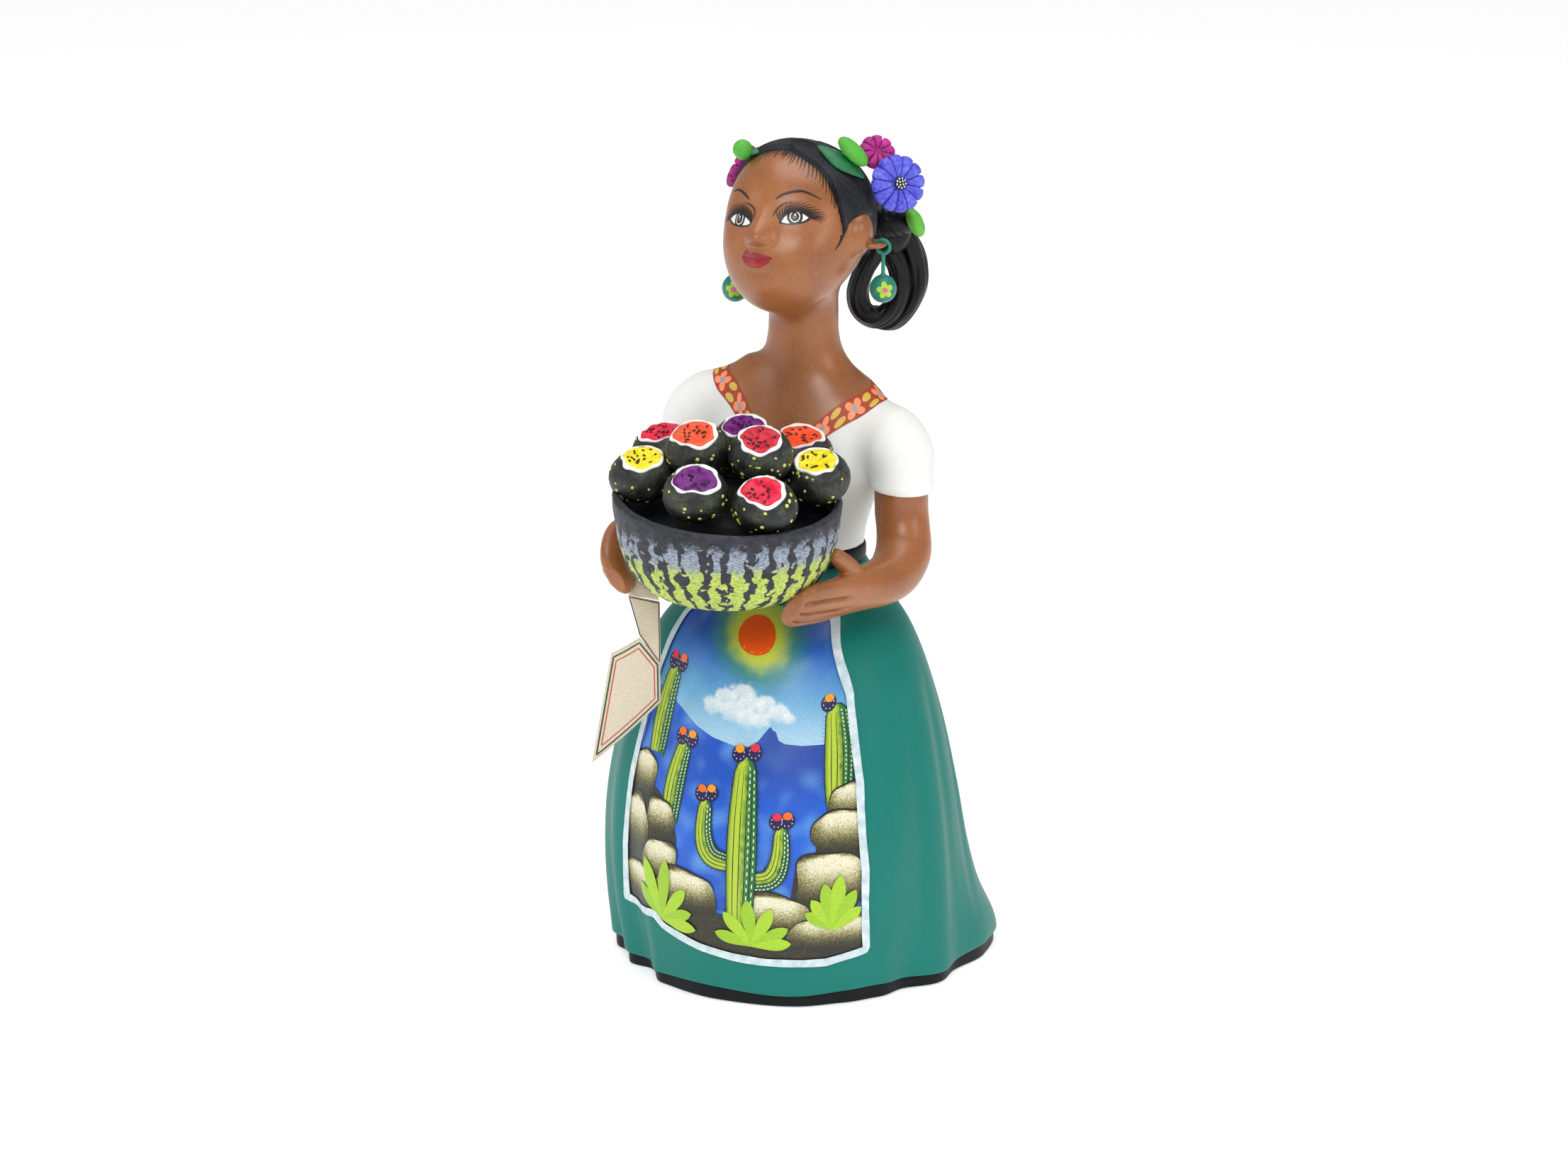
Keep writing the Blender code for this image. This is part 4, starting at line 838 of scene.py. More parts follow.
def skirt_points(angle, height, lift=0.0):
    """Points on the skirt, or at a distance outside it."""
    angle, height = np.broadcast_arrays(np.asarray(angle, float), np.asarray(height, float))
    turn = np.radians(angle)
    radius = skirt_radius(angle, height) + lift
    forward = FRONT_SET * (1 - height / SKIRT_TOP)
    return np.stack([radius * np.sin(turn), -radius * np.cos(turn) - forward, height], -1)


def round_ring(radius, height, steps, deep=None):
    """A level ring about the skirt's axis, as deep as it is wide unless told otherwise."""
    turn = np.linspace(-np.pi, np.pi, steps, endpoint=False)
    deep = radius if deep is None else deep
    return np.stack([radius * np.sin(turn), -deep * np.cos(turn), np.full(steps, float(height))], 1)


def make_skirt():
    """The hollow skirt, the black hem under it and the waistband; returns the black paint."""
    angles = np.linspace(-180, 180, SKIRT_STEPS, endpoint=False)
    edge = HEM_TOP + HEM_WAVE * np.cos(7 * np.radians(angles) + 0.6)
    rings = [skirt_points(angles, edge, -0.9), skirt_points(angles, edge + 0.1, -0.35),
             skirt_points(angles, edge + 0.6, 0.0)]
    for share in np.linspace(0, 1, SKIRT_ROWS)[1:]:
        pleats = 0.5 + 0.5 * np.cos(np.radians(angles) * PLEATS + 1.6 * math.sin(3.0 * share))
        depth = PLEAT_DEPTH * math.sin(np.pi * min(share * 1.25, 1.0))
        sink = depth * step_between(np.abs(angles), *PLEAT_START) * pleats**2
        rings.append(skirt_points(angles, (edge + 0.6) * (1 - share) + (SKIRT_TOP - 0.9) * share, -sink))
    for radius, height in ((WAIST_RADIUS - 0.4, SKIRT_TOP), (WAIST_HOLE, SKIRT_TOP), (WAIST_HOLE, SKIRT_ROOF),
                           (WAIST_HOLE + 4, SKIRT_ROOF - 1)):
        rings.append(round_ring(radius, height, SKIRT_STEPS))
    for height in HOLLOW_HEIGHTS:
        rings.append(skirt_points(angles, height, -SKIRT_WALL - (3.0 if height > 136 else 0.0)))
    rings.append(skirt_points(angles, edge, -HEM_WALL - HEM_SET_BACK + 0.6))
    teal = brushed("teal_paint", rgb(8, 117, 106), 0.46, 0.05, 30.0, 0.02, Specular_IOR_Level=0.26)
    dress(skin("skirt", rings, wrap_rows=True), teal, "teal_paint", "figure", "skirt_shell")

    top, inner = edge - 0.1, -HEM_SET_BACK - HEM_WALL + 0.6
    rings = [skirt_points(angles, top, -HEM_SET_BACK)]
    for turn in np.linspace(0, np.pi, 9):
        inset = HEM_SET_BACK + 0.5 - 0.8 * math.sin(turn / 2 + 0.4)
        rings.append(skirt_points(angles, top * (0.55 + 0.45 * math.cos(turn)) * 0.98, -inset))
    rings += [skirt_points(angles, 0.0, -HEM_SET_BACK - 1.0), skirt_points(angles, 0.0, inner),
              skirt_points(angles, top, inner)]
    for ring in rings:
        ring[:, 2] = np.maximum(ring[:, 2], 0.0)
    black = brushed("black_paint", rgb(13, 15, 18), 0.5, 0.25, 9.0, 0.06, Specular_IOR_Level=0.2)
    dress(skin("hem", rings, wrap_rows=True), black, "black_paint", "figure", "hem_ring")

    low, high = SKIRT_TOP + 0.1, WAISTBAND_TOP
    rings = []
    for turn in np.linspace(0, np.pi, 15):
        out = 0.2 + 0.8 * math.sin(turn) ** 0.7
        height = (low + high) / 2 - (high - low) / 2 * math.cos(turn)
        rings.append(round_ring(WAIST_RADIUS + out, height, WAIST_STEPS, WAIST_DEPTH + out))
    rings += [round_ring(WAIST_HOLE, high, WAIST_STEPS), round_ring(WAIST_HOLE, low, WAIST_STEPS)]
    dress(skin("waistband", rings, wrap_rows=True), black, "black_paint", "figure", "waistband")
    return black


# ---------------------------------------------------------------- head, torso and sleeves

HEAD_TURNED = np.array(Matrix.Rotation(math.radians(HEAD_TURN[0]), 3, "Z")
                       @ Matrix.Rotation(math.radians(HEAD_TURN[1]), 3, "X")
                       @ Matrix.Rotation(math.radians(HEAD_TURN[2]), 3, "Y"))


def directions(lon, lat):
    """Unit vectors at longitudes and latitudes of the head, before it is turned."""
    a, b = np.radians(lon), np.radians(lat)
    return np.stack([np.cos(b) * np.sin(a), -np.cos(b) * np.cos(a), np.sin(b)], -1)


def head_radius(lon, lat):
    """Distance from the head's centre to its skin, with the fine forms of the face."""
    ways = directions(lon, lat)
    radius = 1 / np.sqrt(((ways / np.array(HEAD_HALF)) ** 2).sum(-1))
    for bump_lon, bump_lat, height, spread in HEAD_BUMPS:
        apart = np.degrees(np.arccos(np.clip(ways @ directions(bump_lon, bump_lat), -1, 1)))
        radius = radius + height * np.exp(-0.5 * (apart / spread) ** 2)
    lon = (np.asarray(lon, float) + 180) % 360 - 180
    for bump_lon, bump_lat, height, across, up in FACE_BUMPS:
        aside = (lon - bump_lon) * np.cos(np.radians(lat)) / across
        radius = radius + height * np.exp(-0.5 * (aside**2 + ((lat - bump_lat) / up) ** 2))
    return radius


def head_points(lon, lat, lift=0.0):
    """Points on the head, or at a distance outside it."""
    lon, lat = np.broadcast_arrays(np.asarray(lon, float), np.asarray(lat, float))
    radius = head_radius(lon, lat) + lift
    return directions(lon, lat) * radius[..., None] @ HEAD_TURNED.T + np.array(HEAD_CENTRE)


def head_angles(points):
    """Longitude, latitude and distance of points about the head's centre."""
    local = (points - np.array(HEAD_CENTRE)) @ HEAD_TURNED
    far = np.linalg.norm(local, axis=-1)
    return (np.degrees(np.arctan2(local[..., 0], -local[..., 1])),
            np.degrees(np.arcsin(np.clip(local[..., 2] / far, -1, 1))), far)


def face_angles(x, z):
    """Longitude and latitude of a place on the face, measured from its middle in millimetres."""
    away = np.hypot(x, z)
    turn = away / FACE_RADIUS
    share = np.where(away > 1e-6, np.sin(turn) / np.maximum(away, 1e-6), 1 / FACE_RADIUS)
    ahead, aside, up = np.cos(turn), share * x, share * z
    return np.degrees(np.arctan2(aside, ahead)), np.degrees(np.arcsin(np.clip(up, -1, 1)))


def face_places(lon, lat):
    """Where a longitude and latitude lie on the face, in millimetres from its middle."""
    a, b = np.radians(lon), np.radians(lat)
    away = np.arccos(np.cos(a) * np.cos(b))
    share = FACE_RADIUS * away / np.sin(away)
    return np.stack([np.cos(b) * np.sin(a) * share, np.sin(b) * share], -1)


def face_points(x, z, lift):
    return head_points(*face_angles(np.asarray(x, float), np.asarray(z, float)), lift)


def raised(points):
    """Lifts the doll's right shoulder, which stands a little higher than its left."""
    side = step_between(-points[..., 0], 9, 32)
    height = step_between(points[..., 2], 196, 226) * (1 - step_between(points[..., 2], 240, 262))
    lifted = points.copy()
    lifted[..., 2] += SHOULDER_LIFT * side * height
    return lifted


def torso_rings(count, steps):
    turn = np.linspace(0, 2 * np.pi, steps, endpoint=False)
    rings = [np.stack([wide * np.cos(turn), back + deep * np.sin(turn), np.full(steps, height)], 1)
             for height, wide, deep, back in smooth_points(TORSO_SECTIONS, count)]
    return raised(np.array(rings))


def torso_points(angle, height):
    """Points on the torso at an angle in degrees from the front."""
    rows = smooth_points(TORSO_SECTIONS, 200)
    wide, deep, back = (np.interp(height, rows[:, 0], rows[:, k]) for k in (1, 2, 3))
    turn = np.radians(angle)
    reach = 1 / np.sqrt((np.sin(turn) / wide) ** 2 + (np.cos(turn) / deep) ** 2)
    height = np.asarray(height) + 0 * turn
    return raised(np.stack([reach * np.sin(turn), back - reach * np.cos(turn), height], -1))


def neck_heights(angle):
    """Height of the neckline; it stands further out on the doll's right."""
    drop, at, spread = NECK_DROP
    return curved(NECKLINE, np.abs(angle)) - drop * np.exp(-((angle - at) / spread) ** 2)


def sleeve_rings(side):
    path = smooth_points(SLEEVE_PATH, 60) * np.array([side, 1, 1])
    radii = smooth_points([(radius, 0) for radius in SLEEVE_RADII], 60)[:, 0]
    return raised(tube_rings(path, radii, radii, 96, (0, 1, 0)))


def ear_rings(side):
    lon = side * EAR_LON
    axes = np.array([directions(lon, -10), directions(lon + side * 90, 0), directions(lon, 80)])
    middle = directions(lon, EAR_LAT) * (head_radius(lon, EAR_LAT) - 0.2)
    halves = (EAR_OUT["left" if side > 0 else "right"], EAR_WIDE, EAR_TALL)
    return ball_rings(np.array(HEAD_CENTRE) + HEAD_TURNED @ middle, halves, axes @ HEAD_TURNED.T)


def make_bust():
    """One fused skin of blouse, neck, head and ears, cut in two along the neckline."""
    lons = np.linspace(-180, 180, 200, endpoint=False)
    lats = np.linspace(-89.5, 89.5, 130)
    parts = {"torso": skin("torso", torso_rings(120, 160)),
             "head": skin("head", [head_points(lons, lat) for lat in lats])}
    for side, name in ((1, "left"), (-1, "right")):
        parts["sleeve_" + name] = skin("sleeve_" + name, sleeve_rings(side))
        parts["ear_" + name] = skin("ear_" + name, ear_rings(side))
    graph = bpy.context.evaluated_depsgraph_get()
    trees = {name: BVHTree.FromObject(part, graph) for name, part in parts.items()}
    bust = fused("bust", list(parts.values()), 0.75, 2)
    points = mesh_points(bust)
    scene_points = [Vector(point) for point in (points + OFFSET) * MM]
    gaps = {name: np.array([tree.find_nearest(point)[3] / MM for point in scene_points])
            for name, tree in trees.items()}
    for first, second, reach, rounds in FILLETS:
        weight = np.clip(1.4 - np.maximum(gaps[first], gaps[second]) / reach * 1.4, 0, 1)
        points = relax_near(bust, points, weight, rounds)
    # the smoothing softened the face, so points away from the neck and ears go back to the head's own shape
    lon, lat, far = head_angles(points)
    ears = np.minimum(gaps["ear_left"], gaps["ear_right"])
    share = step_between(lat, -52, -36) * step_between(ears, 0.6, 2.4) * (points[:, 2] > 255)
    target = head_radius(lon, lat) / far
    centre = np.array(HEAD_CENTRE)
    points = centre + (points - centre) * (1 + share * (target - 1))[:, None]
    set_points(bust, points)
    centres = np.empty(len(bust.data.polygons) * 3, np.float32)
    bust.data.polygons.foreach_get("center", centres)
    centres = centres.reshape(-1, 3) / MM - OFFSET
    angle = np.degrees(np.arctan2(centres[:, 0], -centres[:, 1]))
    line = torso_points(angle, neck_heights(angle))
    beyond = np.hypot(centres[:, 0], centres[:, 1]) - np.hypot(line[:, 0], line[:, 1])
    below = centres[:, 2] < line[:, 2] + np.maximum(beyond, 0) * 1.5
    white = brushed("white_paint", rgb(233, 234, 230), 0.6, 0.035, 22.0, 0.05, (1, 1, 2.5))
    clay = skin_clay()
    dress(keep_faces(bust, "blouse", below), white, "white_paint", "figure",
          "torso_shell", "sleeve_left", "sleeve_right")
    dress(keep_faces(bust, "head_and_neck", ~below), clay, "skin_clay", "figure",
          "head_shell", "ear_left", "ear_right")
    tree = BVHTree.FromObject(bust, bpy.context.evaluated_depsgraph_get())
    bpy.data.objects.remove(bust, do_unlink=True)
    return tree, clay


# ---------------------------------------------------------------- arms and hands

def make_arm(name, table, clay):
    """Forearm, palm and thumb fused into one skin, with slits between the fingers."""
    out = HAND_OUT[name]
    rows = smooth_points(table, LIMB_ROWS)
    limb = skin("limb", tube_rings(rows[:, :3], rows[:, 3], rows[:, 4], 64, out))
    thumb_radii = np.interp(np.linspace(0, 2, 24), (0, 1, 2), THUMB_RADII)
    path, radii = domed(smooth_points(THUMBS[name], 24), thumb_radii)
    arm = fused("arm_" + name + "_skin", [limb, skin("thumb", tube_rings(path, radii, radii, 40))], 0.6, 6)
    points = mesh_points(arm)
    along = unit(rows[TIP_ROW, :3] - rows[WRIST_ROW, :3])
    outward = unit(np.asarray(out) - np.dot(out, along) * along)
    side = np.cross(along, outward)
    for across in SLITS:
        line = np.array([row[:3] + side * row[3] * across + outward * row[4] * math.sqrt(1 - across**2)
                         for row in rows[WRIST_ROW + 2:TIP_ROW + 2]])
        apart = np.linalg.norm(points[:, None] - line[None], axis=2)
        nearest = apart.min(1)
        fade = np.clip(apart.argmin(1) / 5, 0, 1)
        points = points - outward * (SLIT_DEPTH * fade * np.exp(-(nearest / SLIT_WIDE) ** 2))[:, None]
    set_points(arm, points)
    dress(arm, clay, "skin_clay", "figure", "arm_" + name)


# ---------------------------------------------------------------- hair

def make_hair():
    """The cap of hair, the two lumps behind it and its two looped strands."""
    edge = smooth_points(HAIRLINE, 720)
    lons, line = edge[:, 0], edge[:, 1]
    lons[0] = -180
    outer, inner = [], []
    for share in np.linspace(0.02, 1, HAIR_ROWS):
        lat = 90 - (90 - line) * share
        left_over = (1 - share) * (90 - line) * 0.56
        thick = 0.25 + HAIR_THICK * step_between(left_over, 0.0, 3.2)
        comb = np.sin(lons * 1.9 + 6 * np.sin(np.radians(lat) * 2.3)) * step_between(left_over, 1, 7)
        outer.append(head_points(lons, lat, 0.05 + thick + COMB_DEPTH * comb * (share > 0.1)))
        inner.append(head_points(lons, lat, 0.02))
    cap_paint = hair_paint("hair_cap_paint", rgb(24, 25, 29), rgb(46, 48, 54), 0.5)
    dress(skin("hair_cap_skin", outer + inner[::-1]), cap_paint, "hair_paint", "figure", "hair_cap")
    glossy = hair_paint("hair_strand_paint", rgb(5, 5, 7), rgb(17, 17, 20), 0.34)
    for number, (name, points) in enumerate(STRANDS.items()):
        path, radii = domed(smooth_points(points, 120), STRAND_RADIUS)
        rings = tube_rings(path, radii, radii, 64, (0.2, 1, 0.1))
        # three sets of combed grooves that wind along the strand
        turn = np.linspace(0, 2 * np.pi, 64, endpoint=False)
        travel = np.linspace(0, 1, len(path))[:, None]
        groove = 0.22 * np.sin(5 * turn + 7 * travel + number) + 0.12 * np.sin(11 * turn - 9 * travel)
        groove = groove + 0.3 * np.sin(2 * turn + 16 * travel)
        middle = path[:, None, :]
        size = np.linalg.norm(rings - middle, axis=2, keepdims=True)
        groove = (groove * (radii / STRAND_RADIUS)[:, None])[..., None]
        rings = middle + (rings - middle) * (1 + groove / np.maximum(size, 0.5))
        dress(skin(name + "_skin", rings), glossy, "hair_paint", "figure", name)
    rings = ball_rings(*GATHER, np.eye(3), 120, 60)
    rings = rings + 0.28 * np.sin(rings[..., :1] * 2.4 + rings[..., 2:] * 0.9) * np.array([0, 0, 1])
    dress(skin("hair_lump", rings), glossy, "hair_paint", "figure", "hair_gather")
    rings = ball_rings(*HAIR_MASS, np.eye(3), 96, 60)
    rings = rings + 0.3 * np.sin(rings[..., :1] * 1.6 + rings[..., 2:] * 0.3) * np.array([0, 1, 0])
    dress(skin("hair_mass", rings), glossy, "hair_paint", "figure")


# ---------------------------------------------------------------- bowl and fruit

def turned_rings(profile, centre, steps, relief=None):
    """Rings of a turned shape; relief(turn, radius, height) moves its skin outward."""
    turn = np.linspace(0, 2 * np.pi, steps, endpoint=False)
    rings = []
    for radius, height in profile:
        reach = np.full(steps, max(radius, 0.01))
        if relief is not None:
            reach = np.maximum(reach + relief(turn, radius, height), 0.01)
        rings.append(np.stack([centre[0] + reach * np.cos(turn), centre[1] + reach * np.sin(turn),
                               np.full(steps, height)], 1))
    return rings


def refine(profile, gap):
    """Adds points along a profile at about the given spacing."""
    profile = np.asarray(profile, float)
    rows = []
    for first, second in zip(profile[:-1], profile[1:]):
        count = max(1, int(np.linalg.norm(second - first) / gap))
        rows += [first + (second - first) * k / count for k in range(count)]
    return np.array(rows + [profile[-1]])


def make_bowl(black):
    """The ribbed bowl and the clay that fills it under the fruit."""
    def relief(turn, radius, height):
        around = np.stack([np.cos(turn) * 22, np.sin(turn) * 22, np.full_like(turn, height * 0.55)], 1)
        rough = wander(around, 2.6, 3.0)
        ribs = 0.5 + 0.5 * np.cos(turn * BOWL_RIBS + 2.4 * rough)
        low = step_between(height, 168, 174) * step_between(204 - height, 0, 10)
        return rough * 0.35 * step_between(height, 167.2, 170) - 0.45 * low * ribs**3

    def tilted(rings):
        for ring in rings:
            x, y = ring[:, 0] - BOWL_CENTRE[0], ring[:, 1] - BOWL_CENTRE[1]
            front, side = x * TILT_WAY[0] - y * TILT_WAY[1], x * TILT_WAY[1] + y * TILT_WAY[0]
            share = np.clip((ring[:, 2] - 168) / 40, 0, 1.1)
            ring[:, 2] -= share * (front * BOWL_TILT[0] + side * BOWL_TILT[1])
        return rings

    def uneven(turn, radius, height):
        return 0.25 * np.sin(5 * turn + 1) * np.sin(11 * turn)

    outer = smooth_points(BOWL_OUTER, 60)
    rim = smooth_points((BOWL_OUTER[-1],) + BOWL_RIM + (BOWL_INNER[0],), 14)[1:-1]
    rings = turned_rings(outer, BOWL_CENTRE, BOWL_STEPS, relief)
    rings += turned_rings(rim, BOWL_CENTRE, BOWL_STEPS, uneven)
    rings += turned_rings(refine(BOWL_INNER, 3.0), BOWL_CENTRE, BOWL_STEPS)
    dress(skin("bowl_skin", tilted(rings)), bowl_paint(), "bowl_paint", "figure", "bowl")
    below = refine([(max(radius - GAP, 0.0), height + GAP) for radius, height in BOWL_INNER[::-1]], 3.0)
    rings = turned_rings(np.vstack([below, refine(FILL_TOP, 0.8)]), BOWL_CENTRE, FILL_STEPS)
    for ring in rings[len(below) + 2:]:
        ring[:, 2] += 0.35 * wander(ring, 4.0)
    dress(skin("bowl_fill_skin", tilted(rings)), black, "black_paint", "figure", "bowl_fill")


def fruit_reach(way):
    """Distance from a fruit's centre to its skin in a direction of its own frame."""
    return 1 / np.sqrt((way[..., 0] ** 2 + way[..., 1] ** 2) / FRUIT_HALF_WIDE**2
                       + way[..., 2] ** 2 / FRUIT_HALF_TALL**2)


def make_fruit(number, centre, lean_side, lean_front, pulp, materials):
    """A dark fruit with its top cut off askew, a thick white rim, bright pulp, black seeds and lime dots."""
    name = f"fruit_{number}"
    axes = np.array(Matrix.Rotation(math.radians(lean_side), 3, "Y")
                    @ Matrix.Rotation(math.radians(lean_front), 3, "X")).T
    seed = number * 7.3
    random = np.random.default_rng(number)
    tilt, toward = math.radians(13 + 5 * math.sin(seed)), math.radians(-66 + 40 * math.sin(seed * 2.1))
    pole = np.array([math.sin(tilt) * math.cos(toward), math.sin(tilt) * math.sin(toward), math.cos(tilt)])
    cut_axes = unit_axes(pole, (0, 1, 0.1))
    turn = np.linspace(0, 2 * np.pi, FRUIT_STEPS, endpoint=False)

    def world(local):
        return np.asarray(local) @ axes + np.asarray(centre)

    def on_skin(polar):
        way = (np.sin(polar)[..., None] * (np.cos(turn)[..., None] * cut_axes[0]
                                           + np.sin(turn)[..., None] * cut_axes[1])
               + np.cos(polar)[..., None] * cut_axes[2])
        return way * fruit_reach(way)[..., None]

    cut_at = np.radians(FRUIT_CUT + 3.0 * np.sin(2 * turn + seed) + 2.4 * np.sin(3 * turn + 2 * seed)
                        + 1.4 * np.sin(7 * turn + seed))
    edge = on_skin(cut_at)
    floor = edge.mean(0) - pole * 0.9
    lumps = 0.35 * np.sin(3 * turn + seed)
    rings = []
    for share in np.linspace(0, 1, 46):
        ring = on_skin(np.pi - 0.02 - (np.pi - 0.02 - cut_at) * share)
        rings.append(ring * (1 + lumps / 13 * math.sin(math.pi * share))[:, None])
    for share in (0.93, 0.8, 0.6, 0.35, 0.02):
        rings.append(floor + (edge - floor) * share - pole * 0.5 * (1 - share))
    body = world(np.array(rings))
    body = body + 0.16 * wander(body, 2.2)[..., None] * unit_rows(body - np.asarray(centre))
    dress(skin(name + "_skin", body), materials["fruit"], "fruit_paint", "figure", name)

    wide = 0.95 + 0.45 * np.sin(turn + seed) + 0.4 * np.sin(4 * turn + seed * 3) + 0.25 * np.sin(9 * turn)
    inward = unit_rows(floor - edge)
    corners = ((1.0, -0.5), (0.9, 0.15), (0.35, 0.5), (-0.4, 0.42), (-0.9, 0.0), (-0.8, -0.8))
    rings = [world(edge - inward * (out * wide * 0.75)[:, None] + pole * lift) for out, lift in corners]
    dress(skin(name + "_rim", rings, wrap_rows=True), materials["rim"], "fruit_paint", "figure")

    rings = []
    for share, lift in ((0.0, -1.4), (0.9, -1.2), (0.97, -0.5), (0.93, 0.0), (0.8, 0.15), (0.65, 0.2),
                        (0.5, 0.2), (0.35, 0.2), (0.2, 0.2), (0.08, 0.2)):
        ring = floor + (edge - floor) * max(share, 0.02) + pole * (lift + 0.3 * (share > 0.5))
        if lift > -0.1:
            ring = ring + pole * (0.45 * wander(ring, 2.4, seed))[:, None]
        rings.append(world(ring))
    dress(skin(name + "_pulp", rings), materials[pulp], "fruit_paint", "figure")

    lift_axes = unit_axes(pole @ axes)
    seeds, dots = [], []
    for _ in range(SEED_COUNT):
        share, angle = math.sqrt(random.uniform(0.02, 0.6)), random.uniform(0, 2 * math.pi)
        step = int(angle / (2 * math.pi) * FRUIT_STEPS) % FRUIT_STEPS
        where = floor + (edge[step] - floor) * share + pole * 0.55
        where = where + pole * 0.45 * noise.noise(Vector(where / 2.4 + seed))
        turned = np.array(Matrix.Rotation(random.uniform(0, math.pi), 3, Vector(lift_axes[2])))
        halves = (random.uniform(0.6, 1.1), 0.45, 0.3)
        seeds.append(ball_rings(world(where), halves, lift_axes @ turned.T, 10, 6))
    for _ in range(DOT_COUNT):
        polar, angle = random.uniform(0.95, 2.2), random.uniform(0, 2 * math.pi)
        way = (math.sin(polar) * (math.cos(angle) * cut_axes[0] + math.sin(angle) * cut_axes[1])
               + math.cos(polar) * cut_axes[2])
        size = random.uniform(0.42, 1.0)
        spot = way * float(fruit_reach(way)) * (1 + 0.35 * math.sin(3 * angle + seed) / 13 * 0.8)
        dots.append(ball_rings(world(spot), (size, size * random.uniform(0.75, 1.1), 0.28),
                               unit_axes(way @ axes, (0.3, 0.2, 1)), 10, 6))
    dress(many_skins(name + "_seeds", seeds), materials["seed"], "fruit_paint", "figure")
    dress(many_skins(name + "_dots", dots), materials["dot"], "fruit_paint", "figure")


def many_skins(name, shapes):
    """One mesh of several small closed skins."""
    verts, faces, start = [], [], 0
    for rings in shapes:
        rows, columns = rings.shape[:2]
        verts.append(rings.reshape(-1, 3))
        faces += [tuple(start + k for k in face) for face in grid_faces(rows, columns)]
        faces.append(tuple(start + k for k in range(columns))[::-1])
        faces.append(tuple(start + (rows - 1) * columns + k for k in range(columns)))
        start += rows * columns
    obj = make_mesh(name, np.vstack(verts), faces)
    outward(obj)
    return obj


# ---------------------------------------------------------------- flowers and leaves

def flower_rings(centre, facing, radius, petals, stalk):
    """A puffed flower head: deep grooves between the petals, a dip in the middle, a stalk behind."""
    axes = unit_axes(facing)
    turn = np.linspace(0, 2 * np.pi, petals * 18, endpoint=False)
    lobe = np.abs(np.cos(petals * turn / 2))
    cleft = np.clip(1 - lobe / 0.34, 0, 1) ** 1.3
    # share of the radius, height, how strongly the petals show
    profile = smooth_points(
        ((0.2, -stalk, 0), (0.3, -4.2, 0), (0.62, -2.9, 0.2), (0.92, -1.5, 0.6), (1.0, 0.1, 1),
         (0.93, 1.5, 1), (0.76, 2.4, 1), (0.52, 2.5, 1), (0.3, 2.0, 0.8), (0.18, 1.5, 0.3), (0.02, 1.4, 0)),
        64)
    rings = []
    for share, height, petal in profile:
        size = radius * share * (1 - petal * (0.05 * (1 - lobe) + 0.09 * cleft * share))
        tall = height - petal * 1.25 * cleft - petal * 0.35 * (1 - lobe)
        local = np.stack([size * np.cos(turn), size * np.sin(turn), tall], 1)
        rings.append(np.asarray(centre) + local @ axes)
    rings = np.array(rings)
    return rings + 0.22 * wander(rings, 1.6)[..., None] * axes[2]


def make_flowers(materials):
    """The three flower heads, and the dotted black middle of the blue one."""
    for name, (colour, slot, *form) in FLOWERS.items():
        dress(skin(name + "_skin", flower_rings(*form)), materials[colour], slot, "figure", name)
    centre, facing = FLOWERS["flower_blue"][2:4]
    axes = unit_axes(facing)
    middle = np.asarray(centre) + axes[2] * 2.6
    dress(skin("flower_blue_middle", ball_rings(middle, (2.5, 2.5, 1.0), axes, 40, 24)), materials["seed"],
          "black_paint", "figure", "flower_blue_centre")
    dots = []
    for ring, count in ((1.9, 9), (0.9, 4)):
        for k in range(count):
            angle = 2 * math.pi * k / count + ring
            out = math.sqrt(1 - (ring / 2.6) ** 2)
            local = np.array([ring * math.cos(angle), ring * math.sin(angle), out])
            dots.append(ball_rings(middle + local @ axes, (0.3, 0.42, 0.25), axes, 10, 6))
    dress(many_skins("flower_blue_dots", dots), materials["rim"], "black_paint", "figure")


def leaf_rings(middle, along, length, wide, thick, pointed):
    """A modelled leaf or bud that lies on the head, with a crease along its middle."""
    along = unit(along)
    up = np.asarray(middle) - np.array(HEAD_CENTRE)
    up = unit(up - up @ along * along)
    side = np.cross(up, along)
    turn = np.linspace(0, 2 * np.pi, 64, endpoint=False)
    rings = []
    for share in np.linspace(-0.995, 0.995, 60):
        full = (1 - abs(share) ** (1.7 if pointed else 2.2)) ** (0.8 if pointed else 0.5)
        across, tall = wide * full * np.cos(turn), thick * full * np.sin(turn)
        crease = 0.5 * full * np.exp(-(across / 0.6) ** 2) * (np.sin(turn) > 0) * (1.0 if pointed else 0.25)
        curl = -(across / wide) ** 2 * 1.4 - 0.9 * share**2 if pointed else 0 * across
        rings.append(np.asarray(middle) + length * share * along + np.outer(across, side)
                     + np.outer(tall - crease + curl, up))
    rings = np.array(rings)
    return rings + 0.12 * wander(rings, 2.0)[..., None] * up


def make_leaves(materials):
    for name, (colour, slot, *form) in LEAVES.items():
        dress(skin(name + "_skin", leaf_rings(*form)), materials[colour], slot, "figure", name)


# ---------------------------------------------------------------- ear loops and earrings

def ball_middle(name):
    """Centre of an earring's ball, which hangs straight below the end of its ear loop."""
    return ring_middle(name) - np.array([0, 0, RING_RADIUS + DROP_LENGTH + BALL_TALL + GAP])


def ring_middle(name):
    """Centre of the small ring that hangs in an ear loop."""
    return np.array(LOOP_ENDS[name]) + np.array([0, 0, LOOP_WIRE + GAP - RING_RADIUS + RING_WIRE])


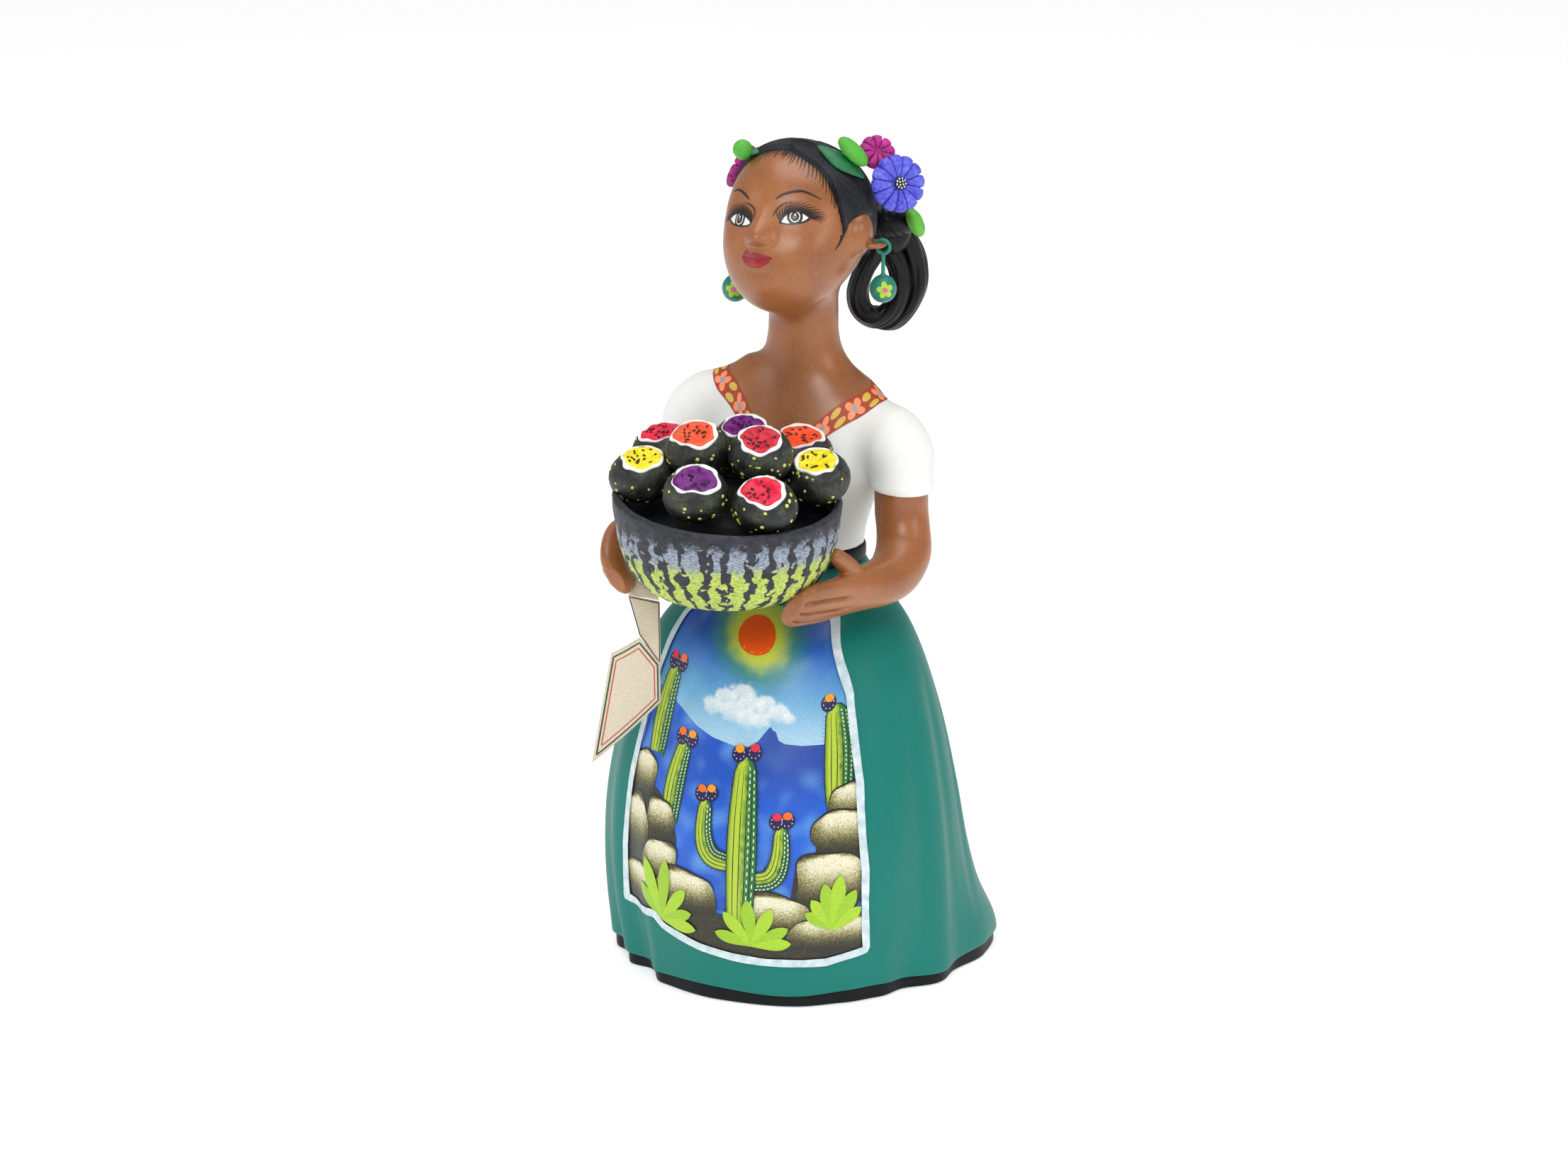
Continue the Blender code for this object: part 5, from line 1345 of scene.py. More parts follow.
def make_earrings(clay, jade):
    """A wire loop through each ear, and the ring, wire and ball that hang in it."""
    for name, side in (("left", 1), ("right", -1)):
        body = f"earring_{name}"
        end = np.array(LOOP_ENDS[name])
        inward = np.array([-side, 0.0, 0.0])
        # depth behind the end of the loop, share of its half width
        sweep = ((LOOP_REACH + 3, -1), (6.5, -1), (3.6, -1), (1.1, -0.72), (0, 0), (1.1, 0.72), (3.6, 1),
                 (6.5, 1), (LOOP_REACH + 3, 1))
        path = smooth_points([end + inward * deep + np.array([0, LOOP_HALF * share, 0.0])
                              for deep, share in sweep], 70)
        radii = LOOP_WIRE * (1 + 0.08 * np.sin(np.arange(70) * 0.5))
        loop = skin(f"ear_loop_{name}_skin", tube_rings(path, radii, radii, 32))
        dress(loop, clay, "skin_clay", "figure", f"ear_loop_{name}")
        centre = ring_middle(name)
        turn = np.linspace(0, 2 * np.pi, 72, endpoint=False)
        path = centre + np.stack([np.sin(turn), 0 * turn, np.cos(turn)], 1) * RING_RADIUS
        small = np.linspace(0, 2 * np.pi, 24, endpoint=False)
        aside = np.outer(RING_WIRE * np.sin(small), (0, 1, 0))
        ring = np.array([centre + way * (RING_RADIUS + RING_WIRE * np.cos(small))[:, None] + aside
                         for way in unit_rows(path - centre)])
        drop_top, drop_end = centre - [0, 0, RING_RADIUS], centre - [0, 0, RING_RADIUS + DROP_LENGTH]
        ring = skin("hook", ring, wrap_rows=True)
        path = np.linspace(drop_top, drop_end, 20)
        drop = skin("drop", tube_rings(path, DROP_WIRE, DROP_WIRE, 24, (0, 1, 0)))
        dress(fused(body + "_hook", [ring, drop], 0.2, 3), jade, "jade_paint", body, body + "_wire")
        middle = ball_middle(name)
        bead = ball_rings(middle, (BALL_WIDE, BALL_WIDE, BALL_TALL), np.eye(3), 72, 48)
        bead = bead + 0.1 * wander(bead, 3.0)[..., None] * unit_rows(bead - middle)
        cap = ball_rings(middle + np.array([0, 0, BALL_TALL - 0.2]), (1.3, 1.3, 0.9), np.eye(3), 32, 16)
        dress(skin(body + "_bead", bead), jade, "jade_paint", body, body + "_ball")
        dress(skin(body + "_cap", cap), jade, "jade_paint", body)


# ---------------------------------------------------------------- paint laid on surfaces

class Canvas:
    """Flat shapes in millimetres, wrapped on a surface as thin coats of coloured paint."""

    def __init__(self, surface, spacing, coat, first):
        """surface(x, y, lift) gives points; each layer is one coat thick, and the first lies this far out."""
        self.surface, self.spacing, self.coat, self.first = surface, spacing, coat, first
        self.groups = {}

    def add(self, group, flat, faces, colour, layer):
        """Lays flat faces on the surface; a higher layer stands further out."""
        colours = colour(flat) if callable(colour) else np.tile(colour, (len(flat), 1))
        points = self.surface(flat[:, 0], flat[:, 1], self.first + self.coat * layer)
        rows = self.groups.setdefault(group, ([], [], []))
        start = sum(len(part) for part in rows[0])
        rows[0].append(points)
        rows[1].extend(tuple(start + k for k in face) for face in faces)
        rows[2].append(colours)

    def fill(self, group, outline, colour, layer):
        """A filled shape; colour is one colour or a function of the flat points."""
        outline = np.asarray(outline, float)
        low, high = outline.min(0), outline.max(0)
        xs, ys = (np.arange(low[k] + self.spacing / 2, high[k], self.spacing) for k in (0, 1))
        inside = np.stack(np.meshgrid(xs, ys), -1).reshape(-1, 2)
        flat, faces = meshed(outline, inside[far_inside(inside, outline, self.spacing * 0.4)], 1e-5)
        self.add(group, flat, faces, colour, layer)

    def stroke(self, group, path, widths, colour, layer, closed=False):
        """A brush stroke along a path; widths is one number or one for each end and the middle."""
        path = np.asarray(path, float)
        if closed:
            path = np.vstack([path, path[:1]])
        path = refine(path, min(self.spacing, 1.0))
        wide = np.interp(np.linspace(0, 1, len(path)), np.linspace(0, 1, max(np.size(widths), 2)),
                         np.broadcast_to(widths, max(np.size(widths), 2)))
        ahead = unit_rows(np.gradient(path, axis=0))
        if closed:
            ahead[0] = ahead[-1] = unit(ahead[0] + ahead[-1])
        side = np.stack([-ahead[:, 1], ahead[:, 0]], 1) * wide[:, None] / 2
        flat = np.vstack([path + side, path - side])
        count = len(path)
        faces = [(count + k, count + k + 1, k + 1, k) for k in range(count - 1)]
        self.add(group, flat, faces, colour, layer)

    def curve(self, group, points, widths, colour, layer, count=24):
        """A brush stroke along a smooth curve through the points."""
        self.stroke(group, smooth_points(points, count), widths, colour, layer)

    def oval(self, group, centre, halves, colour, layer, turn=0.0, sides=24):
        self.fill(group, oval_outline(centre, halves, turn, sides), colour, layer)

    def finish(self, group, name, material, slot, body):
        """Makes one piece of all that was laid down in a group."""
        verts, faces, colours = self.groups[group]
        obj = make_mesh(name, np.vstack(verts), faces)
        colours = np.vstack(colours)
        colours = np.hstack([colours, np.ones((len(colours), 1))]).astype(np.float32)
        stored = obj.data.color_attributes.new("paint", "FLOAT_COLOR", "POINT")
        stored.data.foreach_set("color", colours.ravel())
        dress(obj, material, slot, body)


def oval_outline(centre, halves, turn=0.0, sides=24):
    angles = np.linspace(0, 2 * np.pi, sides, endpoint=False)
    flat = np.stack([np.cos(angles) * halves[0], np.sin(angles) * halves[1]], 1)
    a = math.radians(turn)
    return flat @ np.array([[math.cos(a), math.sin(a)], [-math.sin(a), math.cos(a)]]) + np.asarray(centre)


def meshed(outline, inside, near):
    """Flat points and faces that fill an outline, with extra points inside it."""
    count = len(outline)
    points = [Vector(point) for point in np.vstack([outline, inside])]
    edges = [(k, (k + 1) % count) for k in range(count)]
    verts, _, faces, *_ = delaunay_2d_cdt(points, edges, [], 1, near)
    return np.array([tuple(vert) for vert in verts]), faces


def loop_through(corners, gap):
    """A closed outline through the corners, with points at about the given spacing."""
    corners = np.asarray(corners, float)
    return refine(np.vstack([corners, corners[:1]]), gap)[:-1]


def far_inside(points, outline, margin):
    """Which points lie inside an outline and not close to it."""
    x, y = points[:, 0], points[:, 1]
    inside = np.zeros(len(points), bool)
    nearest = np.full(len(points), 1e9)
    for (x1, y1), (x2, y2) in zip(outline, np.roll(outline, -1, axis=0)):
        if y1 != y2:
            crosses = ((y1 > y) != (y2 > y)) & (x < (x2 - x1) * (y - y1) / (y2 - y1) + x1)
            inside ^= crosses
        length = max((x2 - x1) ** 2 + (y2 - y1) ** 2, 1e-12)
        t = np.clip(((x - x1) * (x2 - x1) + (y - y1) * (y2 - y1)) / length, 0, 1)
        nearest = np.minimum(nearest, np.hypot(x - x1 - t * (x2 - x1), y - y1 - t * (y2 - y1)))
    return inside & (nearest > margin)


# ---------------------------------------------------------------- paper tag

def card_frame(corners):
    """Origin, across, up and outward directions of a flat leaf."""
    corners = np.asarray(corners, float)
    normal = unit(sum(np.cross(a, b) for a, b in zip(corners, np.roll(corners, -1, axis=0))))
    if normal[1] > 0:
        normal = -normal
    across = -unit(np.cross((0, 0, 1), normal))
    return corners.mean(0), across, -np.cross(normal, across), normal


def card_surface(corners, fold, bend):
    """Maps flat places on a leaf to its curved face.

    bend(x, y) is how far the face stands forward. It fades to nothing at the fold, the edge between the two
    corners whose numbers are given.
    """
    origin, across, up, normal = card_frame(corners)
    away = np.asarray(corners, float) - origin
    flat = np.stack([away @ across, away @ up], 1)
    first = flat[fold[0]]
    line = unit(flat[fold[1]] - first)

    def surface(x, y, lift):
        away = np.abs((x - first[0]) * line[1] - (y - first[1]) * line[0])
        forward = bend(x, y) * step_between(away, 0, 9) + lift
        return origin + np.outer(x, across) + np.outer(y, up) + np.outer(forward, normal)

    return surface, flat


def make_card(name, corners, surface, material, body, *nodes):
    """A thin card: two faces and the edge between them."""
    outline = loop_through(corners, 1.0)
    low, high = outline.min(0), outline.max(0)
    grid = np.stack(np.meshgrid(*(np.arange(low[k], high[k], 1.2) for k in (0, 1))), -1).reshape(-1, 2)
    flat, faces = meshed(outline, grid[far_inside(grid, outline, 0.5)], 1e-6)
    half, count, total = TAG_THICK * 0.3, len(outline), len(flat)
    whole = np.vstack([surface(flat[:, 0], flat[:, 1], lift) for lift in (half, -half)])
    skins = [tuple(face) for face in faces] + [tuple(total + k for k in face[::-1]) for face in faces]
    walls = [(k, (k + 1) % count, total + (k + 1) % count, total + k) for k in range(count)]
    leaf = make_mesh(name + "_card", whole, skins + walls)
    outward(leaf)
    dress(leaf, material, "tag_paper", body, *nodes)


def make_tag():
    """Two leaves of card with printed border lines and no lettering, and the strip that they hang from."""
    card, ink = paper(), from_paint("tag_ink", 0.75, 0.1, 1.0, 0.01)
    leaves = (("tag_upper", "tag_top_leaf", TAG_UPPER, (2, 3), lambda x, y: -0.5 * np.cos((x + 2) / 5.0),
               ((0.93, 0.35, INK),)),
              ("tag_lower", "tag_end_leaf", TAG_LOWER, (0, 1),
               lambda x, y: 1.6 * np.cos((x - 2) / 11.0) - 1.2,
               ((0.9, 0.7, TAG_GREEN), (0.78, 0.5, TAG_RED))))
    surface, flat = card_surface(TAG_ROOT, (0, 1), lambda x, y: np.zeros_like(x))
    make_card("tag_root", flat, surface, card, "figure")
    for name, body, corners, fold, bend, borders in leaves:
        surface, flat = card_surface(corners, fold, bend)
        make_card(name, flat, surface, card, body, name)
        print_on = Canvas(surface, 1.0, 0.02, TAG_THICK * 0.3 + 0.05)
        for share, wide, colour in borders:
            inset = flat.mean(0) + (flat - flat.mean(0)) * share
            print_on.stroke("border", inset, wide, colour, 0, closed=True)
        print_on.finish("border", name + "_border", ink, "tag_paper", body)


# ---------------------------------------------------------------- painted face

def paint_face():
    """Eyes, brows, lashes, lips and the fine strokes of hair along the forehead."""
    face = Canvas(face_points, 0.6, 0.018, 0.07)
    ink, white, grey = rgb(20, 17, 17), rgb(238, 238, 235), rgb(150, 154, 160)
    for side, eye in EYES.items():
        sign = 1 if side == "left" else -1
        upper, lower = smooth_points(eye["upper"], 40), smooth_points(eye["lower"], 40)
        face.fill("face", np.vstack([upper, lower[1:-1]]), white, 0)
        # black iris, white ring, black pupil and its grey dot, each cut off by the lids
        for k, (size, tone) in enumerate(((3.3, ink), (2.2, white), (1.8, ink), (0.7, grey), (0.4, ink))):
            ring = oval_outline(eye["iris"], (size * 0.92, size), 0, 48)
            lid = np.interp(sign * ring[:, 0], sign * upper[:, 0], upper[:, 1])
            rest = np.interp(sign * ring[:, 0], sign * lower[::-1, 0], lower[::-1, 1])
            ring[:, 1] = np.clip(ring[:, 1], rest + 0.03 * k, lid - 0.03 * k)
            face.fill("face", ring, tone, 1 + k)
        glint = np.array(eye["iris"]) + (0.1, 0.75)
        face.oval("face", glint, (0.34, 0.42), white, 9, 0, 12)
        face.stroke("face", upper, (0.8, 1.4, 1.6, 1.4, 1.0), ink, 10)
        face.stroke("face", lower, (0.9, 0.55, 0.45, 0.5), ink, 10)
        corner = np.array(eye["upper"][-1])
        for middle, tip, widths in (((2.6, 0.5), (5.2, 0.3), (0.9, 0.4, 0.1)),
                                    ((2.4, -0.9), (4.6, -2.0), (0.5, 0.3, 0.1)),
                                    ((2.4, -0.2), (5.6, -0.9), (0.6, 0.3, 0.1))):
            bent = [corner, corner + np.array(middle) * (sign, 1), corner + np.array(tip) * (sign, 1)]
            face.curve("face", bent, widths, ink, 10)
        for tip, root in zip(smooth_points(eye["lashes"], 15), smooth_points(eye["upper"], 18)[1:-2]):
            middle = (tip + root) / 2 + np.array([-sign * 0.45, 0.15])
            face.curve("face", [root, middle, tip], (0.62, 0.46, 0.12), ink, 11, 12)
        face.curve("face", eye["crease"], (0.2, 0.6, 0.5, 0.15), ink, 11)
        face.curve("face", eye["brow"], (0.4, 1.0, 0.95, 0.7, 0.2), ink, 11)
    # red is the lips' own colour; the second colour is a lighter red, a painted highlight in the middle of
    # the lower lip
    red, deep = np.array(rgb(138, 14, 26)), np.array(rgb(166, 34, 42))

    # the lips' red, lightened towards a painted highlight in the middle of the lower lip
    def lip_with_painted_highlight(flat):
        share = np.exp(-((flat[:, 0] + 1.4) / 2.8) ** 2 - ((flat[:, 1] + 15.2) / 0.8) ** 2)[:, None]
        return red * (1 - share) + deep * share

    face.fill("face", loop_through(LIP_OUTLINE, 0.4), lip_with_painted_highlight, 0)
    face.curve("face", LIP_LINE, (0.1, 0.34, 0.26, 0.3, 0.1), rgb(104, 10, 22), 1)
    edge = [face_places(lon, lat) for lon, lat in HAIRLINE if -75 < lon < 61.5 and lat > -7]
    edge = smooth_points(edge, 44)
    random = np.random.default_rng(11)
    for k, root in enumerate(edge[:-1]):
        side = root[0] + 2.0
        length = random.uniform(6.6, 10.6) * (0.85 if abs(side) < 6 else 1.0) * (0.75 if root[1] < 4 else 1.0)
        fall = unit((0.55 * np.clip(side / 18, -1, 0.25), -1.0))
        end = root + fall * length + (random.uniform(-0.3, 0.3), 0)
        middle = (root + end) / 2 + np.array([0.35 if side > 0 else -0.35, 0.1])
        start = root - fall * 0.8
        face.curve("face", [start, middle, end], (1.0, 0.65, 0.2), ink, 2 + k % 2, 10)
    face.curve("face", [(31.6, -8.6), (29.9, -11.6), (26.6, -14.6)], (1.9, 1.1, 0.1), ink, 3)
    face.finish("face", "face_paint", from_paint("face_paint", 0.38, 0.06, 0.8, 0.01), "skin_clay", "figure")


# ---------------------------------------------------------------- painted neck trim

def paint_trim(bust):
    """The flowered band round the neck of the blouse."""
    angles = np.linspace(-180, 180, 361)
    heights = neck_heights(angles)
    middle = torso_points(angles, heights)
    length = np.concatenate([[0], np.cumsum(np.linalg.norm(np.diff(middle, axis=0), axis=1))])
    length -= np.interp(0, angles, length)
    stretch = torso_points(angles, heights + 1.0) - torso_points(angles, heights - 1.0)
    stretch = np.linalg.norm(stretch, axis=1) / 2

    def surface(along, across, lift):
        angle = np.interp(along, length, angles)
        height = np.interp(angle, angles, heights) + across / np.interp(angle, angles, stretch)
        points = []
        for point in (torso_points(angle, height) + OFFSET) * MM:
            spot, normal, _, _ = bust.find_nearest(Vector(point))
            points.append(np.array(spot + normal * (lift * MM)) / MM - OFFSET)
        return np.array(points)

    band = Canvas(surface, 0.8, 0.06, 0.15)
    start, end = length[0], length[-1]
    side = np.linspace(start, end, int((end - start) / 0.8))
    rust, ochre, peach, grey = rgb(172, 58, 24), rgb(218, 186, 72), rgb(255, 150, 108), rgb(122, 176, 184)
    faces = grid_faces(2, len(side), wrap_columns=False)
    levels = np.linspace(-TRIM_HALF, TRIM_HALF, 12)
    for pair in zip(levels[:-1], levels[1:]):
        flat = np.vstack([np.stack([side, np.full_like(side, level)], 1) for level in pair])
        band.add("trim", flat, faces, rust, 0)
    count = int(round((end - start) / TRIM_REPEAT))
    for k in range(count):
        at = start + (k + 0.5) * (end - start) / count
        for angle in (45, 135, 225, 315):
            turn = math.radians(angle)
            spot = (at + 2.7 * math.cos(turn), 2.4 * math.sin(turn))
            band.oval("trim", spot, (2.1, 1.6), peach, 1, angle, 16)
        band.oval("trim", (at, 0.0), (1.15, 1.15), grey, 2, 0, 14)
        half = at + (end - start) / count / 2
        for aside, up in ((-0.6, 2.1), (0.6, -2.1)):
            band.oval("trim", (half + aside, up), (2.8, 1.45), ochre, 1, 16, 18)
    band.finish("trim", "neck_trim", from_paint("trim_paint", 0.5, 0.1, 1.0, 0.03), "white_paint", "figure")


# ---------------------------------------------------------------- painted apron

def on_apron(along, height, lift):
    """Points on the front of the skirt at a distance round it and a height."""
    angle = np.degrees(np.asarray(along, float) / front_radius(height))
    return skirt_points(angle, height, lift)


def within_apron(points, margin):
    """Moves points that stray over the edge of the picture back on to it."""
    points = np.array(points, float)
    height = np.clip(points[:, 1], np.interp(points[:, 0], *zip(*APRON_BOTTOM)) + margin, 155.6)
    left = np.interp(height, *zip(*APRON_LEFT)) + margin
    right = np.interp(height, *zip(*APRON_RIGHT)) - margin
    return np.stack([np.clip(points[:, 0], left, right), height], 1)


def apron_edge(top_left, low_left, start, end, low_right, top_right):
    """The edge of the picture: down its left side, along the bottom and up its right side."""
    edge = [(np.interp(z, *zip(*APRON_LEFT)), z) for z in np.arange(top_left, low_left, -2.0)]
    edge += [(x, np.interp(x, *zip(*APRON_BOTTOM))) for x in np.arange(start, end, 2.0)]
    edge += [(np.interp(z, *zip(*APRON_RIGHT)), z) for z in np.arange(low_right, top_right, 2.0)]
    return np.array(edge)


def flat_wander(flat, size, seed=0.0):
    """Smooth noise over flat points."""
    return wander(np.hstack([flat, np.zeros((len(flat), 1))]), size, seed)


def blend(first, second, share):
    """One colour turned into another by a share at each point."""
    share = np.clip(share, 0, 1)[:, None]
    return np.asarray(first) * (1 - share) + np.asarray(second) * share


def paint_sky(apron):
    """Blue sky that pales towards the hills, a sun with a green glow, and one heaped cloud."""
    heights, tones = [height for height, _ in SKY], [rgb(*tone) for _, tone in SKY]

    def colour(flat):
        x, z = flat[:, 0], flat[:, 1]
        tone = np.stack([np.interp(z, heights, [row[k] for row in tones]) for k in range(3)], 1)
        tone = blend(tone, rgb(120, 180, 214), 0.35 * flat_wander(flat, 7, 2.0))
        up = z - SUN_GLOW[1]
        sun = np.hypot(x - SUN_GLOW[0] + 0.45 * up, up * 1.1) + 1.5 * flat_wander(flat, 4, 9.0)
        tone = blend(tone, rgb(58, 138, 108), 0.8 * step_between(24 - sun, 0, 10))
        tone = blend(tone, rgb(196, 206, 70), step_between(16 - sun, 0, 8))
        ragged = 1.3 * flat_wander(flat, 2.4, 5.0) + 0.7 * flat_wander(flat, 1.1, 1.0)
        for heap_x, heap_z, size in CLOUD:
            away = np.hypot(x - heap_x, (z - heap_z) * 1.25) + ragged
            lit = step_between(z - heap_z + size, -0.3 * size, 1.3 * size)
            tone = blend(tone, rgb(232, 236, 234), step_between(size - away, 0, 1.8) * lit * 0.75)
        return tone

    apron.spacing = FINE_SPACING
    apron.fill("sky", apron_edge(155, 32, -52, 60.5, 25, 155.5), colour, 0)
    apron.spacing = APRON_SPACING
    turn = np.linspace(0, 2 * np.pi, 49)[:-1]
    disc = np.outer(np.cos(turn), (7.65, 0.6)) + np.outer(np.sin(turn), (-3.05, 6.15)) + (3.9, 144.8)
    apron.fill("sun", disc, rgb(246, 84, 14), 1)

    def hill(flat):
        x, z = flat[:, 0], flat[:, 1]
        tone = blend(rgb(14, 78, 184), rgb(24, 94, 206), 0.5 + 0.5 * np.sin(z / 9))
        tone = blend(tone, rgb(96, 156, 222), 1.1 * flat_wander(flat, 9, 4.0) + 0.1)
        return blend(tone, rgb(10, 58, 150), step_between(x - 6, 0, 12) * step_between(z, 84, 106) * 0.8)

    apron.fill("sky", within_apron(loop_through(MOUNTAINS, 2.0), 1.2), hill, 1)


def paint_rock(apron, centre, halves, layer, seed):
    """One sponged boulder: light along its top, dark below, with a black line over it."""
    turn = np.linspace(0, 2 * np.pi, 44, endpoint=False)
    size = 1 + 0.07 * np.sin(3 * turn + seed) + 0.05 * np.sin(5 * turn + 2 * seed)
    flat = np.stack([np.sign(wave) * np.abs(wave) ** 0.8 * half * size
                     for wave, half in zip((np.cos(turn), np.sin(turn)), halves)], 1) + centre

    def shade(points):
        height = (points[:, 1] - centre[1]) / halves[1]
        aside = np.abs(points[:, 0] - centre[0]) / halves[0]
        value = 0.86 * step_between(height, -0.9, 0.75) * (1 - 0.35 * step_between(aside, 0.5, 1.0))
        value = value * (1 - 0.8 * step_between(height + 0.22 * aside, 0.86, 1.02))
        return np.tile(value[:, None], (1, 3))

    apron.fill("rocks", within_apron(flat, 0.5), shade, layer)
    apron.stroke("lines", within_apron(flat[2:24], 0.5), (0.2, 0.7, 0.8, 0.6, 0.2), INK, layer + 1)


def paint_cactus(apron, spine, half, layer, seed):
    """One ribbed column, lime on the left and dark green on the right, with dashes, spines and two fruits."""
    path = smooth_points(spine, 48)
    ahead = unit_rows(np.gradient(path, axis=0))
    side = np.stack([ahead[:, 1], -ahead[:, 0]], 1)
    travel = np.linspace(0, 1, len(path))
    wide = half * (0.72 + 0.28 * np.sin(np.pi * np.clip(travel * 0.95 + 0.12, 0, 1)))
    wide = wide * np.sqrt(np.clip((1.012 - travel) / 0.10, 0, 1))
    left, right = path - side * wide[:, None], path + side * wide[:, None]

    def colour(flat):
        near = np.linalg.norm(flat[:, None] - path[None], axis=2).argmin(1)
        across = ((flat - path[near]) * side[near]).sum(1) / np.maximum(wide[near], 0.4)
        speck = flat_wander(flat * (1, 0.4), 1.0, seed)
        tone = blend(rgb(178, 204, 52), rgb(24, 112, 44), step_between(across + 0.35 * speck, -0.25, 0.45))
        return blend(tone, rgb(40, 96, 30), step_between(-across, 0.7, 1.0) * 0.8)

    edge = within_apron(np.vstack([left, right[::-1]]), 0.6)
    apron.spacing = FINE_SPACING
    apron.fill("plants", edge, colour, layer)
    apron.spacing = APRON_SPACING
    apron.stroke("lines", edge, 0.4, INK, layer + 1)
    for share in (-0.55, -0.15, 0.25, 0.62):
        rib = (path + side * (wide * share)[:, None])[1:44]
        apron.stroke("lines", within_apron(rib, 1.0), (0.25, 0.4, 0.3, 0.15), INK, layer + 1)
    for share, start in ((0.44, 3), (0.8, 4)):
        row = (path + side * (wide * share)[:, None])[start:45]
        for k in range(0, len(row) - 1, 2):
            if np.allclose(row[k:k + 2], within_apron(row[k:k + 2], 1.0)):
                apron.stroke("dashes", row[k:k + 2], 0.42, rgb(232, 240, 220), layer + 2)
    for k in range(2, 46, 2):
        for edge_point, way in ((left[k], -side[k]), (right[k], side[k])):
            tip = edge_point + way * 1.2 + ahead[k] * 0.9
            if np.allclose(tip, within_apron([tip], 1.2)[0]):
                apron.stroke("lines", [edge_point, tip], (0.14, 0.08), INK, layer + 1)
    for k, aside in enumerate((-0.52, 0.5)):
        tone = (rgb(226, 34, 66), rgb(246, 112, 28), rgb(244, 156, 20))[(seed + k) % 3]
        spot = path[-1] + side[-1] * half * aside + ahead[-1] * (1.1 + 0.5 * k)
        paint_cactus_fruit(apron, spot, 2.99, tone, layer + 2)


def paint_cactus_fruit(apron, centre, size, tone, layer):
    """A small navy fruit with white dots and a bright tip, left out where the picture ends."""
    if not np.allclose(centre, within_apron([centre], size * 0.8)[0]):
        return
    apron.oval("plants", centre, (size * 1.02, size * 1.12), rgb(26, 20, 74), layer)
    apron.oval("plants", centre + (0.0, size * 0.62), (size * 0.62, size * 0.5), tone, layer + 1)
    for angle in (200, 245, 290, 335, 20, 160):
        turn = math.radians(angle)
        spot = centre + np.array([math.cos(turn), math.sin(turn)]) * size * 0.7
        apron.oval("plants", spot, (0.2, 0.26), rgb(236, 236, 240), layer + 1, 0, 8)


def paint_agave(apron, base, tips, layer):
    """A fan of plain pointed leaves in two greens."""
    base = np.asarray(base, float)
    # how far along the leaf, share of its width there
    shape = ((0.0, 0.25), (0.25, 0.6), (0.5, 0.95), (0.72, 1.0), (0.9, 0.6), (1.0, 0.02))
    for k, tip in enumerate(tips):
        along = np.asarray(tip, float) - base
        aside = unit((-along[1], along[0])) * (1.7 + 0.05 * np.linalg.norm(along))
        left = [base + along * far + aside * wide for far, wide in shape]
        right = [base + along * far - aside * wide for far, wide in shape[::-1]]
        outline = within_apron(np.vstack([smooth_points(left, 18), smooth_points(right, 18)]), 0.8)
        apron.fill("plants", outline, rgb(166, 206, 36) if k % 2 else rgb(152, 196, 30), layer + k)


def paint_apron():
    """A plain desert landscape with a chalky border, painted on the front of the skirt."""
    apron = Canvas(on_apron, APRON_SPACING, 0.024, 0.06)
    paint_sky(apron)
    for cactus in FAR_CACTI:
        paint_cactus(apron, *cactus)
    for corners, tone, layer in [(shadow, 0.05, 9) for shadow in ROCK_SHADOWS] + [(GROUND, 0.1, 10)]:
        apron.fill("rocks", within_apron(loop_through(corners, 1.5), 0.5), (tone, tone, tone), layer)
    for k, (centre, halves) in enumerate(ROCKS):
        paint_rock(apron, centre, halves, 11 + 2 * (k % 6), k * 1.7)
    for cactus in NEAR_CACTI:
        paint_cactus(apron, *cactus)
    for base, tips in AGAVES:
        paint_agave(apron, base, tips, 36)

    def chalk(flat):
        return blend(rgb(226, 234, 238), rgb(176, 204, 212), 0.5 + flat_wander(flat, 3.0))

    edge = apron_edge(APRON_TOP, 34, -52.4, 60.5, 25, 156.5)
    apron.stroke("border", edge, 3.2 + 0.5 * flat_wander(edge, 9.0), chalk, 40)
    coat = from_paint("apron_paint", 0.4, 0.14, 0.9, 0.02)
    black = brushed("line_paint", INK, 0.4, 0.2, 4.0, 0.01)
    for group, material in (("sky", sky_paint()), ("sun", coat), ("rocks", rock_paint()), ("plants", coat),
                            ("dashes", coat), ("lines", black), ("border", coat)):
        apron.finish(group, "apron_" + group, material, "teal_paint", "figure")


# ---------------------------------------------------------------- painted earrings

def paint_earrings():
    """A five-petalled flower on the front of each ball."""
    coat = from_paint("earring_paint", 0.45, 0.1, 0.8, 0.02)
    for name, aside in (("left", 0.62), ("right", 0.30)):
        middle = ball_middle(name)
        axes = unit_axes((aside, -1.0, 0.12))

        def surface(x, y, lift, middle=middle, axes=axes):
            away = np.maximum(np.hypot(x, y), 1e-6)
            turn = away / BALL_WIDE
            way = (np.sin(turn) / away)[:, None] * (np.outer(x, axes[0]) + np.outer(y, axes[1]))
            way = way + np.outer(np.cos(turn), axes[2])
            return middle + way * (np.array([BALL_WIDE, BALL_WIDE, BALL_TALL]) + 0.1 + lift)

        ball = Canvas(surface, 0.6, 0.03, 0.06)
        for k in range(5):
            angle = 98 + 72 * k
            spot = (2.0 * math.cos(math.radians(angle)), 2.0 * math.sin(math.radians(angle)))
            ball.oval("flower", spot, (1.5, 1.15), rgb(172, 204, 48), 0, angle, 18)
        ball.oval("flower", (0, 0), (1.05, 1.05), rgb(204, 104, 152), 1, 0, 16)
        ball.finish("flower", f"earring_{name}_flower", coat, "jade_paint", f"earring_{name}")


# ---------------------------------------------------------------- stage and camera

